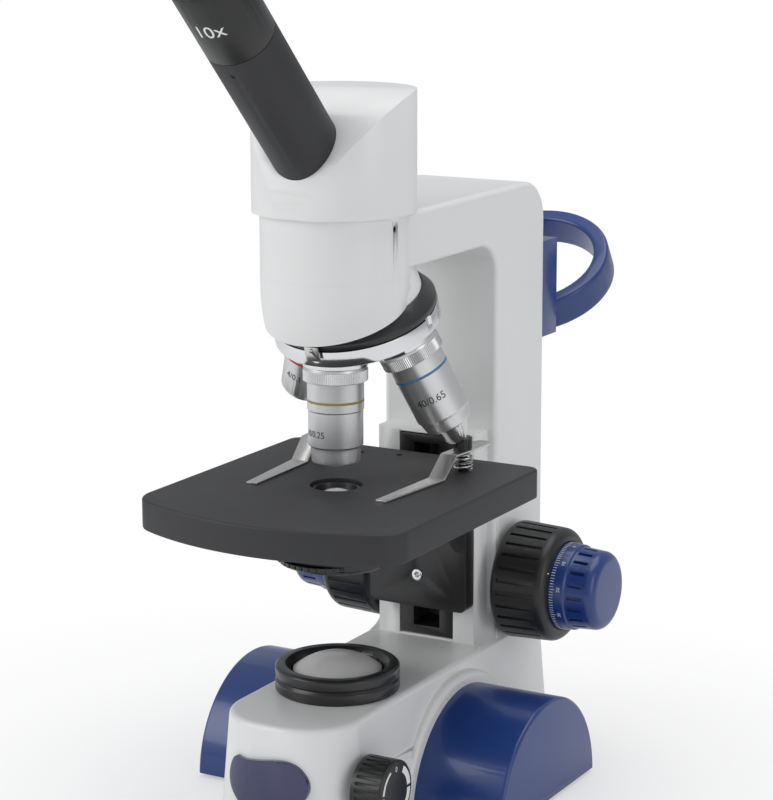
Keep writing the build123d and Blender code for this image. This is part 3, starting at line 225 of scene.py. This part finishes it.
white_paint = finish("white_paint", (0.80, 0.80, 0.79), (0.78, 0.78, 0.775), rough=0.34, swing=0.05,
                     patch=9, grain=520, depth=0.006, coat=0.15)
black_crinkle = finish("black_crinkle", (0.018, 0.018, 0.02), (0.03, 0.03, 0.032), rough=0.55, swing=0.2,
                       grain=1500, depth=0.05)
black_satin = finish("black_satin", (0.012, 0.012, 0.013), (0.02, 0.02, 0.021), rough=0.33, swing=0.15,
                     grain=1800, depth=0.01, coat=0.15)
black_moulded = finish("black_moulded", (0.012, 0.012, 0.013), (0.018, 0.018, 0.018), rough=0.36,
                       swing=0.12, grain=1100, depth=0.015)
blue_moulded = finish("blue_moulded", (0.012, 0.044, 0.2), (0.010, 0.037, 0.175), rough=0.3, swing=0.08,
                      patch=14, grain=450, depth=0.006, coat=0.3)
badge_blue = finish("badge_blue", (0.01, 0.012, 0.09), (0.008, 0.01, 0.075), rough=0.12, swing=0.04,
                    patch=14, grain=300, depth=0.003, coat=1.0, coat_rough=0.04)
bright_metal = finish("bright_metal", (0.72, 0.72, 0.72), (0.6, 0.6, 0.6), rough=0.24, swing=0.16,
                      metal=1.0, grain=2500, depth=0.004)
satin_chrome = finish("satin_chrome", (0.74, 0.74, 0.74), (0.66, 0.66, 0.66), rough=0.36, swing=0.12,
                      metal=0.92, grain=1500, depth=0.006)
polished = finish("polished", (0.8, 0.8, 0.81), (0.72, 0.72, 0.73), rough=0.12, swing=0.1, metal=1.0,
                  grain=1800, depth=0.003)
spring_steel = finish("spring_steel", (0.68, 0.67, 0.65), (0.56, 0.55, 0.54), rough=0.26, swing=0.2,
                      metal=1.0, grain=1400, depth=0.006)
brassy = finish("brassy", (0.7, 0.55, 0.3), (0.55, 0.42, 0.22), rough=0.28, swing=0.2, metal=1.0,
                grain=1300, depth=0.006)
rubber = finish("rubber", (0.02, 0.02, 0.02), (0.03, 0.03, 0.03), rough=0.75, swing=0.1, grain=1200,
                depth=0.03)
clear_glass = finish("clear_glass", (0.97, 0.98, 0.98), (0.95, 0.97, 0.97), rough=0.02, swing=0.01,
                     grain=60, depth=0.001, glass=1.0, ior=1.52)
frosted = finish("frosted", (0.93, 0.92, 0.91), (0.86, 0.85, 0.84), rough=0.42, swing=0.1, grain=1400,
                 depth=0.02, glass=0.35, ior=1.45, coat=0.6)
# The condenser lenses are drawn opaque and pale grey under a clear coat: the pale colour is painted
# reflection, standing in for the bright room seen in the clear glass.
lens_painted_reflection = finish("lens_painted_reflection", (0.72, 0.74, 0.76), (0.68, 0.7, 0.73), rough=0.06, swing=0.03,
                     grain=60, depth=0.001, coat=1.0, coat_rough=0.02)
coated_glass = finish("coated_glass", (0.05, 0.07, 0.12), (0.08, 0.06, 0.14), rough=0.05, swing=0.02,
                      grain=60, depth=0.001, coat=1.0, coat_rough=0.02)
board_green = finish("board_green", (0.05, 0.22, 0.09), (0.04, 0.18, 0.07), rough=0.4, grain=800,
                     depth=0.01)
lamp_cap = finish("lamp_cap", (0.95, 0.88, 0.5), (0.9, 0.8, 0.42), rough=0.2, grain=500, depth=0.005)
print_white = finish("print_white", (0.85, 0.85, 0.85), (0.75, 0.75, 0.75), rough=0.5, grain=2000,
                     depth=0.005)
print_black = finish("print_black", (0.02, 0.02, 0.02), (0.035, 0.035, 0.035), rough=0.5, grain=2000,
                     depth=0.005)
ring_yellow = finish("ring_yellow", (0.36, 0.27, 0.03), (0.3, 0.22, 0.025), rough=0.4, grain=1500,
                     depth=0.006)
ring_blue = finish("ring_blue", (0.06, 0.2, 0.36), (0.05, 0.17, 0.3), rough=0.4, grain=1500, depth=0.006)
ring_red = finish("ring_red", (0.6, 0.03, 0.03), (0.5, 0.02, 0.02), rough=0.4, grain=1500, depth=0.006)
print("materials", len(bpy.data.materials))

# %% [markdown]
# The CAD solids take these finishes. The list below says for each solid its material, its slot in the
# record and how far its sharp edges are eased, in millimetres. A solid's mesh is faceted, so it is
# copied, its doubles are merged, its edges eased, and its faces shaded smooth by angle. The copy rides
# on the same body and stands for the solid.

# %% Finishes and smooth copies
LOOKS = {
    "stand_casting": (white_paint, "white_paint", 0.0), "head_shell": (white_paint, "white_paint", 0.35),
    "base_cover": (black_moulded, "black_plastic", 0.0), "cover_screws": (bright_metal, "steel", 0.0),
    "rubber_pads": (rubber, "rubber", 0.0), "foot_right": (blue_moulded, "blue_plastic", 0.0),
    "foot_left": (blue_moulded, "blue_plastic", 0.0), "badge": (badge_blue, "blue_plastic", 0.7),
    "collector_ring": (black_satin, "black_paint", 0.2), "collector_lens": (frosted, "frosted_glass", 0.0),
    "led_board": (board_green, "board", 0.0),
    "led_emitter": (lamp_cap, "lamp", 0.0), "dimmer_pot": (black_moulded, "black_plastic", 0.0),
    "dimmer_shaft": (bright_metal, "steel", 0.0), "dimmer_knob": (black_moulded, "black_plastic", 0.15),
    "power_inlet": (black_moulded, "black_plastic", 0.2), "handle": (blue_moulded, "blue_plastic", 0.0),
    "handle_screws": (bright_metal, "steel", 0.15), "shaft_bushes": (brassy, "brass", 0.0),
    "coarse_shaft": (bright_metal, "steel", 0.0), "coarse_knob_right": (black_moulded, "black_plastic", 0.2),
    "coarse_knob_left": (black_moulded, "black_plastic", 0.2), "fine_shaft": (bright_metal, "steel", 0.0),
    "fine_knob_right": (blue_moulded, "blue_plastic", 0.15),
    "fine_knob_left": (blue_moulded, "blue_plastic", 0.15),
    "guide_block": (black_satin, "black_paint", 0.2), "focus_slide": (brassy, "brass", 0.0),
    "stage_bracket": (black_satin, "black_paint", 0.3), "bracket_screws": (polished, "chrome", 0.15),
    "stage_plate": (black_crinkle, "black_paint", 0.0), "stage_screws": (bright_metal, "steel", 0.0),
    "clip_right": (spring_steel, "steel", 0.1), "clip_left": (spring_steel, "steel", 0.1),
    "clip_screws": (black_satin, "black_paint", 0.1), "clip_springs": (bright_metal, "steel", 0.0),
    "condenser_housing": (black_satin, "black_paint", 0.2), "condenser_lenses": (lens_painted_reflection, "glass", 0.0),
    "diaphragm_disc": (black_satin, "black_paint", 0.0), "diaphragm_pin": (bright_metal, "steel", 0.0),
    "nosepiece_seat": (black_satin, "black_paint", 0.3), "turret": (polished, "chrome", 0.2),
    "nosepiece_screw": (bright_metal, "steel", 0.1), "detent_spring": (spring_steel, "brass", 0.1),
    "objective_4x": (satin_chrome, "chrome", 0.1), "objective_10x": (satin_chrome, "chrome", 0.1),
    "objective_40x_barrel": (satin_chrome, "chrome", 0.1),
    "objective_40x_nose": (bright_metal, "chrome", 0.1),
    "objective_40x_lens": (coated_glass, "glass", 0.0), "objective_lenses": (coated_glass, "glass", 0.0),
    "head_base": (black_satin, "black_paint", 0.0), "head_prism": (clear_glass, "glass", 0.0),
    "head_lock_screw": (black_satin, "steel", 0.0), "eyepiece_tube": (black_crinkle, "black_paint", 0.2),
    "eyepiece_lock_screw": (black_satin, "steel", 0.0),
    "eyepiece_barrel": (black_moulded, "black_plastic", 0.3),
    "eye_lens": (coated_glass, "glass", 0.0), "field_lens": (coated_glass, "glass", 0.0),
}
MERGE = 0.0000012
FLAT_ANGLE = radians(0.4)
SHARP_ANGLE = radians(40)
SMOOTH_ANGLE = radians(32)


def select_only(obj):
    bpy.ops.object.select_all(action="DESELECT")
    obj.select_set(True)
    bpy.context.view_layer.objects.active = obj


def apply_modifiers(obj):
    select_only(obj)
    for mod in list(obj.modifiers):
        bpy.ops.object.modifier_apply(modifier=mod.name)


def smooth_copy(node, edge):
    """Merged, smooth copy of a solid, with its sharp edges eased by 'edge' millimetres."""
    source = frame["nodes"][node]
    copy = bpy.data.objects.new(node + "_skin", source.data.copy())
    bpy.context.scene.collection.objects.link(copy)
    select_only(copy)
    bpy.ops.object.mode_set(mode="EDIT")
    bpy.ops.mesh.select_all(action="SELECT")
    bpy.ops.mesh.remove_doubles(threshold=MERGE)
    bpy.ops.mesh.dissolve_limited(angle_limit=FLAT_ANGLE)
    bpy.ops.object.mode_set(mode="OBJECT")
    if edge:
        bevel = copy.modifiers.new("eased", "BEVEL")
        bevel.width = edge * MM
        bevel.segments = 2
        bevel.limit_method = "ANGLE"
        bevel.angle_limit = SHARP_ANGLE
        bevel.harden_normals = False
        apply_modifiers(copy)
    select_only(copy)
    bpy.ops.object.shade_smooth_by_angle(angle=SMOOTH_ANGLE)
    return copy


for node, (material, slot, edge) in LOOKS.items():
    skin = smooth_copy(node, edge)
    skin.data.materials.clear()
    skin.data.materials.append(material)
    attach(skin, frame["nodes"][node]["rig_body"])
    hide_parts(node)
print("dressed", len(LOOKS), "of", len(frame["nodes"]))

# %% [markdown]
# The printed and fitted details. A printed figure is a text made into a mesh and wrapped round its
# barrel. A fitted band is a circle that is extruded along the axis and thickened. Both are modelled
# at the origin and then carried to their place by the axis frame, with the move baked into the mesh.

# %% Helpers for bands and prints
def bake(obj, matrix):
    """Carry the mesh to its place, so that the object itself stays at the origin."""
    obj.data.transform(matrix)
    obj.location = (0, 0, 0)
    return obj


def give(obj, material, body):
    obj.data.materials.clear()
    obj.data.materials.append(material)
    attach(obj, body)
    return obj


def band(name, matrix, radius, low, high, thick, steps=96, notch=1.0):
    """Thin ring about the frame's axis. With a notch below 1, every second line is drawn in as a knurl."""
    bpy.ops.object.select_all(action="DESELECT")
    bpy.ops.mesh.primitive_circle_add(vertices=steps, radius=radius * MM, location=(0, 0, low * MM))
    ring = bpy.context.object
    ring.name = name
    bpy.ops.object.transform_apply(location=True)
    bpy.ops.object.mode_set(mode="EDIT")
    bpy.ops.mesh.select_all(action="SELECT")
    bpy.ops.mesh.extrude_region_move(TRANSFORM_OT_translate={"value": (0, 0, (high - low) * MM)})
    if notch < 1:
        bpy.ops.mesh.select_all(action="DESELECT")
        bpy.ops.object.mode_set(mode="OBJECT")
        for v in ring.data.vertices:
            around = Vector((v.co.x, v.co.y)).angle_signed(Vector((1, 0))) % (2 * pi)
            v.select = round(around / (2 * pi / steps)) % 2 == 0
        bpy.ops.object.mode_set(mode="EDIT")
        bpy.ops.transform.resize(value=(notch, notch, 1), center_override=(0, 0, 0))
    bpy.ops.mesh.select_all(action="SELECT")
    bpy.ops.mesh.normals_make_consistent(inside=False)
    bpy.ops.object.mode_set(mode="OBJECT")
    wall = ring.modifiers.new("wall", "SOLIDIFY")
    wall.thickness = thick * MM
    wall.offset = -1
    edge = ring.modifiers.new("edge", "BEVEL")
    edge.width = 0.04 * MM
    edge.segments = 1
    edge.limit_method = "ANGLE"
    edge.angle_limit = radians(50)
    apply_modifiers(ring)
    select_only(ring)
    bpy.ops.object.shade_smooth_by_angle(angle=radians(30))
    return bake(ring, matrix)


def flat_text(words, size):
    """Text as a thin closed mesh, centred, reading along X with its top towards Y."""
    bpy.ops.object.select_all(action="DESELECT")
    bpy.ops.object.text_add(location=(0, 0, 0))
    text = bpy.context.object
    text.data.body = words
    text.data.size = size * MM
    text.data.align_x = "CENTER"
    text.data.align_y = "CENTER"
    text.data.extrude = 0.03 * MM
    text.data.resolution_u = 3
    bpy.ops.object.convert(target="MESH")
    return bpy.context.object


def wrap(obj, radius, turn, height, upright=True):
    """Lay a flat piece round the Z axis. 'turn' is its place in degrees and 'height' its level in mm.
    Upright text reads round the barrel. Otherwise it reads round it with its top towards -Z."""
    for v in obj.data.vertices:
        along, up, out = v.co.x, v.co.y, v.co.z
        if not upright:
            along, up = -along, -up
        angle = radians(turn) + along / (radius * MM)
        reach = radius * MM + out
        v.co = (reach * cos(angle), reach * sin(angle), height * MM + up)
    return obj


def print_on(name, words, size, matrix, radius, turn, height, material, body):
    text = wrap(flat_text(words, size), radius, turn, height)
    text.name = name
    bake(text, matrix)
    return give(text, material, body)


# %% [markdown]
# The objectives carry a coloured ring for their power, a knurled collar and small printed figures.

# %% Objectives
def beside(index):
    """Objective frame with +Z towards the shoulder, so that upright figures read the right way up."""
    axis = seat_axis(index)
    return axis_frame(APEX + SHOULDER * axis, -axis)


RING_RADIUS = 11.06
RING_HALF = 0.5
RING_THICK = 0.16
COLLAR_RADIUS = 12.6
COLLAR_LOW = -5.7
COLLAR_HIGH = -1.3
COLLAR_THICK = 0.3
COLLAR_LINES = 200
COLLAR_NOTCH = 0.98
# By seat: the ring's colour and level.
POWER_RINGS = {0: (ring_yellow, -13.5), 1: (ring_blue, -12.0), 3: (ring_red, -9.0)}
# By seat: the figures, their size, their place round the barrel in degrees, their level and radius.
POWER_FIGURES = {0: ("10/0.25", 3.6, -112, -26.0, 10.68), 1: ("40/0.65", 4.2, -62, -22.0, 11.03),
                 3: ("4/0.1", 3.8, -100, -16.5, 10.68)}
for index, (ring_colour, level) in POWER_RINGS.items():
    ring = band(f"power_ring_{index}", beside(index), RING_RADIUS, level - RING_HALF, level + RING_HALF,
                RING_THICK)
    give(ring, ring_colour, "turret_body")
    collar = band(f"collar_knurl_{index}", beside(index), COLLAR_RADIUS, COLLAR_LOW, COLLAR_HIGH,
                  COLLAR_THICK, steps=COLLAR_LINES, notch=COLLAR_NOTCH)
    give(collar, bright_metal, "turret_body")
for index, (words, size, turn, level, radius) in POWER_FIGURES.items():
    print_on(f"power_figures_{index}", words, size, beside(index), radius, turn, level, print_black,
             "turret_body")

# %% [markdown]
# Fine focus scale. A hundred short lines run round the rim next to the coarse knob, a longer one at
# every tenth, with the tens beside them. One line is modelled, copied and joined.

# %% Focus scale
SCALE_RADIUS = 18.22
SCALE_FOOT = 53.5
SCALE_LINES = 100
SCALE_TURN = radians(8)
LINE_THICK = 0.1
LINE_WIDE = 0.22
SHORT_LINE = 1.7
LONG_LINE = 2.3
NUMBER_SIZE = 2.1
NUMBER_LEVEL = 57.4
NUMBER_SINK = 0.18


def tick(length):
    """One printed line along the axis, starting at the scale's foot."""
    bpy.ops.object.select_all(action="DESELECT")
    bpy.ops.mesh.primitive_cube_add(size=1, location=(0, 0, 0))
    line = bpy.context.object
    bpy.ops.object.mode_set(mode="EDIT")
    bpy.ops.transform.resize(value=(LINE_THICK * MM, LINE_WIDE * MM, length * MM))
    bpy.ops.object.mode_set(mode="OBJECT")
    line.data.transform(Matrix.Translation((SCALE_RADIUS * MM, 0, (SCALE_FOOT + length / 2) * MM)))
    return line


def joined_piece(objects, name):
    bpy.ops.object.select_all(action="DESELECT")
    for o in objects:
        o.select_set(True)
    bpy.context.view_layer.objects.active = objects[0]
    bpy.ops.object.join()
    objects[0].name = name
    return objects[0]


def focus_scale(side):
    """Scale on the right (+1) or left (-1) fine knob, modelled about Z and carried to the focus axis."""
    short = tick(SHORT_LINE)
    long = tick(LONG_LINE)
    lines = []
    for i in range(SCALE_LINES):
        source = long if i % 10 == 0 else short
        copy = bpy.data.objects.new("line", source.data.copy())
        bpy.context.scene.collection.objects.link(copy)
        copy.data.transform(Matrix.Rotation(radians(360 / SCALE_LINES * i), 4, "Z"))
        lines.append(copy)
    bpy.data.objects.remove(short)
    bpy.data.objects.remove(long)
    for i in range(10):
        number = flat_text(str(10 * i), NUMBER_SIZE)
        lines.append(wrap(number, SCALE_RADIUS - NUMBER_SINK, 36 * i * side, NUMBER_LEVEL, upright=False))
    name = "scale_right" if side > 0 else "scale_left"
    scale = joined_piece(lines, name)
    spot = axis_frame(DRIVE, (side, 0, 0), (0, 0, 1))
    bake(scale, spot @ Matrix.Rotation(SCALE_TURN, 4, "Z"))
    return give(scale, print_white, "fine_drive")


focus_scale(1)
focus_scale(-1)


# %% [markdown]
# The coarse knob has one short white index line on its rounded shoulder, next to the scale.

# %% Coarse index
INDEX_SIZE = Vector((1.9, 0.5, 0.3)) * MM
INDEX_EDGE = 0.08
INDEX_RADIUS = 20.9
INDEX_LEVEL = 52.6
INDEX_LEAN = radians(35)
INDEX_TURN = radians(62)


def coarse_index(side):
    bpy.ops.object.select_all(action="DESELECT")
    bpy.ops.mesh.primitive_cube_add(size=1, location=(0, 0, 0))
    mark = bpy.context.object
    bpy.ops.object.mode_set(mode="EDIT")
    bpy.ops.transform.resize(value=INDEX_SIZE)
    bpy.ops.mesh.bevel(offset=INDEX_EDGE * MM, segments=2)
    bpy.ops.object.mode_set(mode="OBJECT")
    mark.name = "index_right" if side > 0 else "index_left"
    mark.data.transform(Matrix.Rotation(INDEX_LEAN, 4, "Y"))
    mark.data.transform(Matrix.Translation((INDEX_RADIUS * MM, 0, INDEX_LEVEL * MM)))
    spot = axis_frame(DRIVE, (side, 0, 0), (0, 0, 1))
    bake(mark, spot @ Matrix.Rotation(INDEX_TURN * side, 4, "Z"))
    return give(mark, print_white, "coarse_drive")


coarse_index(1)
coarse_index(-1)
print("scales and index marks made")


# %% [markdown]
# The dimmer's face shows a scale of arcs that grow wider, which says "less to more" without words.

# %% Dimmer arcs
DIMMER_FACE = (0.0443, -0.0316, 0.0265)
ARC_COUNT = 5
ARC_RADIUS = 10.6
ARC_START = 25
ARC_PITCH = 62
ARC_LENGTH = 55
ARC_WIDE = 0.9
ARC_GAIN = 0.3
ARC_GROWTH = 0.35
ARC_THICK = 0.12
ZERO_SIZE = 3.0
ZERO_RADIUS = 9.2


def arc_plate(start, wide, steps=14):
    """Flat arc in the XY plane from 'start' degrees, which grows wider on its way."""
    rim, inner = [], []
    for i in range(steps + 1):
        t = i / steps
        a = radians(start + ARC_LENGTH * t)
        reach = ARC_RADIUS - (wide + ARC_GAIN * t)
        rim.append((ARC_RADIUS * cos(a) * MM, ARC_RADIUS * sin(a) * MM, 0))
        inner.append((reach * cos(a) * MM, reach * sin(a) * MM, 0))
    mesh = bpy.data.meshes.new("arc")
    mesh.from_pydata(rim + inner, [], [(i, i + 1, steps + 2 + i, steps + 1 + i) for i in range(steps)])
    obj = bpy.data.objects.new("arc", mesh)
    bpy.context.scene.collection.objects.link(obj)
    wall = obj.modifiers.new("wall", "SOLIDIFY")
    wall.thickness = ARC_THICK * MM
    wall.offset = 0
    apply_modifiers(obj)
    select_only(obj)
    bpy.ops.object.mode_set(mode="EDIT")
    bpy.ops.mesh.select_all(action="SELECT")
    bpy.ops.mesh.normals_make_consistent(inside=False)
    bpy.ops.object.mode_set(mode="OBJECT")
    return obj


arcs = [arc_plate(ARC_START + ARC_PITCH * i, ARC_WIDE + ARC_GROWTH * i) for i in range(ARC_COUNT)]
zero = flat_text("0", ZERO_SIZE)
bake(zero, Matrix.Translation((ZERO_RADIUS * MM, 0, 0)) @ Matrix.Rotation(radians(-90), 4, "Z"))
dimmer_marks = joined_piece(arcs + [zero], "dimmer_marks")
bake(dimmer_marks, axis_frame(DIMMER_FACE, (1, 0, 0), (0, 0, 1)))
give(dimmer_marks, print_white, "dimmer")

# %% [markdown]
# The eyepiece has its power printed on the barrel, and the arm a fine seam where two castings meet.

# %% Eyepiece figures and seam
EYEPIECE_RADIUS = 13.62
FIGURES_SIZE = 8.0
FIGURES_TURN = 97
FIGURES_LEVEL = 108.0
SEAM_RADIUS = 28.46
SEAM_LOW = 216.6
SEAM_HIGH = 217.2
SEAM_THICK = 0.12
tube_frame = axis_frame(TUBE_FOOT, TUBE_AXIS, (-1, 0, 0))
print_on("eyepiece_figures", "10x", FIGURES_SIZE, tube_frame, EYEPIECE_RADIUS, FIGURES_TURN,
         FIGURES_LEVEL, print_white, "eyepiece")
seam = band("neck_seam", Matrix.Identity(4), SEAM_RADIUS, SEAM_LOW, SEAM_HIGH, SEAM_THICK, steps=128)
give(seam, white_paint, "stand")

# %% [markdown]
# Camera and light. The camera stands where the photographer's did, a little above the stage and to
# the right. Large soft lamps give the even, nearly shadowless light of a product picture, and the
# floor and backdrop look white to the camera.

# %% Camera
SIDE = radians(29.51)
DOWN = radians(12.33)
ROLL = radians(-0.14)
AWAY = 0.9396
ASIDE = 0.01958
HEIGHT = 0.3729
camera_data = bpy.data.cameras.new("camera")
camera_data.lens = 112.48
camera_data.sensor_width = 36
camera = bpy.data.objects.new("camera", camera_data)
bpy.context.scene.collection.objects.link(camera)
camera.location = (sin(SIDE) * AWAY + cos(SIDE) * ASIDE, -cos(SIDE) * AWAY + sin(SIDE) * ASIDE, HEIGHT)
camera.rotation_euler = (pi / 2 - DOWN, 0, SIDE)
camera.rotation_euler.rotate_axis("Z", ROLL)
bpy.context.scene.camera = camera
print("camera", tuple(round(v, 4) for v in camera.location))


# %% Floor, world and lamps
FLOOR_SIDE = 14
FLOOR_DROP = 0.0002
FADE_NEAR = 0.1
FADE_FAR = 0.3
FADE_LEAST = 0.45


def backdrop_material():
    """Pale floor that turns white to the camera away from the object, and keeps the shadow near it."""
    mat = bpy.data.materials.new("backdrop")
    mat.use_nodes = True
    nodes, links = mat.node_tree.nodes, mat.node_tree.links
    shader = nodes["Principled BSDF"]
    shader.inputs["Base Color"].default_value = (0.93, 0.93, 0.93, 1)
    shader.inputs["Roughness"].default_value = 0.9
    place = nodes.new("ShaderNodeTexCoord")
    reach = nodes.new("ShaderNodeVectorMath")
    reach.operation = "LENGTH"
    fade = nodes.new("ShaderNodeMapRange")
    fade.inputs["From Min"].default_value = FADE_NEAR
    fade.inputs["From Max"].default_value = FADE_FAR
    fade.inputs["To Min"].default_value = FADE_LEAST
    seen = nodes.new("ShaderNodeLightPath")
    either = math_node(nodes, "MAXIMUM")
    amount = math_node(nodes, "MULTIPLY")
    glow = nodes.new("ShaderNodeEmission")
    glow.inputs["Strength"].default_value = 1.0
    mix = nodes.new("ShaderNodeMixShader")
    links.new(place.outputs["Object"], reach.inputs[0])
    links.new(reach.outputs["Value"], fade.inputs["Value"])
    links.new(seen.outputs["Is Camera Ray"], either.inputs[0])
    links.new(seen.outputs["Is Transmission Ray"], either.inputs[1])
    links.new(fade.outputs["Result"], amount.inputs[0])
    links.new(either.outputs[0], amount.inputs[1])
    links.new(amount.outputs[0], mix.inputs["Fac"])
    links.new(shader.outputs[0], mix.inputs[1])
    links.new(glow.outputs[0], mix.inputs[2])
    links.new(mix.outputs[0], nodes["Material Output"].inputs["Surface"])
    return mat


bpy.ops.object.select_all(action="DESELECT")
bpy.ops.mesh.primitive_plane_add(size=1, location=(0, 0, 0))
floor = bpy.context.object
floor.name = "floor"
bpy.ops.object.mode_set(mode="EDIT")
bpy.ops.transform.resize(value=(FLOOR_SIDE, FLOOR_SIDE, 1))
bpy.ops.object.mode_set(mode="OBJECT")
floor.location = (0, 0, -FLOOR_DROP)
floor.data.materials.append(backdrop_material())

world = bpy.data.worlds.new("studio")
bpy.context.scene.world = world
world.use_nodes = True
nodes, links = world.node_tree.nodes, world.node_tree.links
sky = nodes["Background"]
sky.inputs["Color"].default_value = (0.9, 0.92, 0.95, 1)
sky.inputs["Strength"].default_value = 0.5
white = nodes.new("ShaderNodeBackground")
white.inputs["Color"].default_value = (1, 1, 1, 1)
white.inputs["Strength"].default_value = 1.0
path = nodes.new("ShaderNodeLightPath")
pick = nodes.new("ShaderNodeMixShader")
links.new(path.outputs["Is Camera Ray"], pick.inputs["Fac"])
links.new(sky.outputs[0], pick.inputs[1])
links.new(white.outputs[0], pick.inputs[2])
links.new(pick.outputs[0], nodes["World Output"].inputs["Surface"])


def lamp(name, place, aim, size, power):
    """Soft rectangular lamp at a place, facing the point 'aim', with its power in watts."""
    data = bpy.data.lights.new(name, "AREA")
    data.shape = "RECTANGLE"
    data.size = size[0]
    data.size_y = size[1]
    data.energy = power
    obj = bpy.data.objects.new(name, data)
    bpy.context.scene.collection.objects.link(obj)
    obj.location = place
    obj.rotation_euler = (Vector(aim) - Vector(place)).to_track_quat("-Z", "Y").to_euler()
    return obj


lamp("softbox_left", (-0.9, -0.9, 0.75), (0, 0, 0.17), (0.9, 0.9), 7.5)
lamp("softbox_right", (1.25, -0.35, 0.5), (0, 0, 0.16), (0.5, 0.9), 2.4)
lamp("softbox_top", (0.1, 0.2, 1.3), (0, 0, 0.1), (1.1, 1.1), 7)
bpy.context.scene.view_settings.view_transform = "Standard"
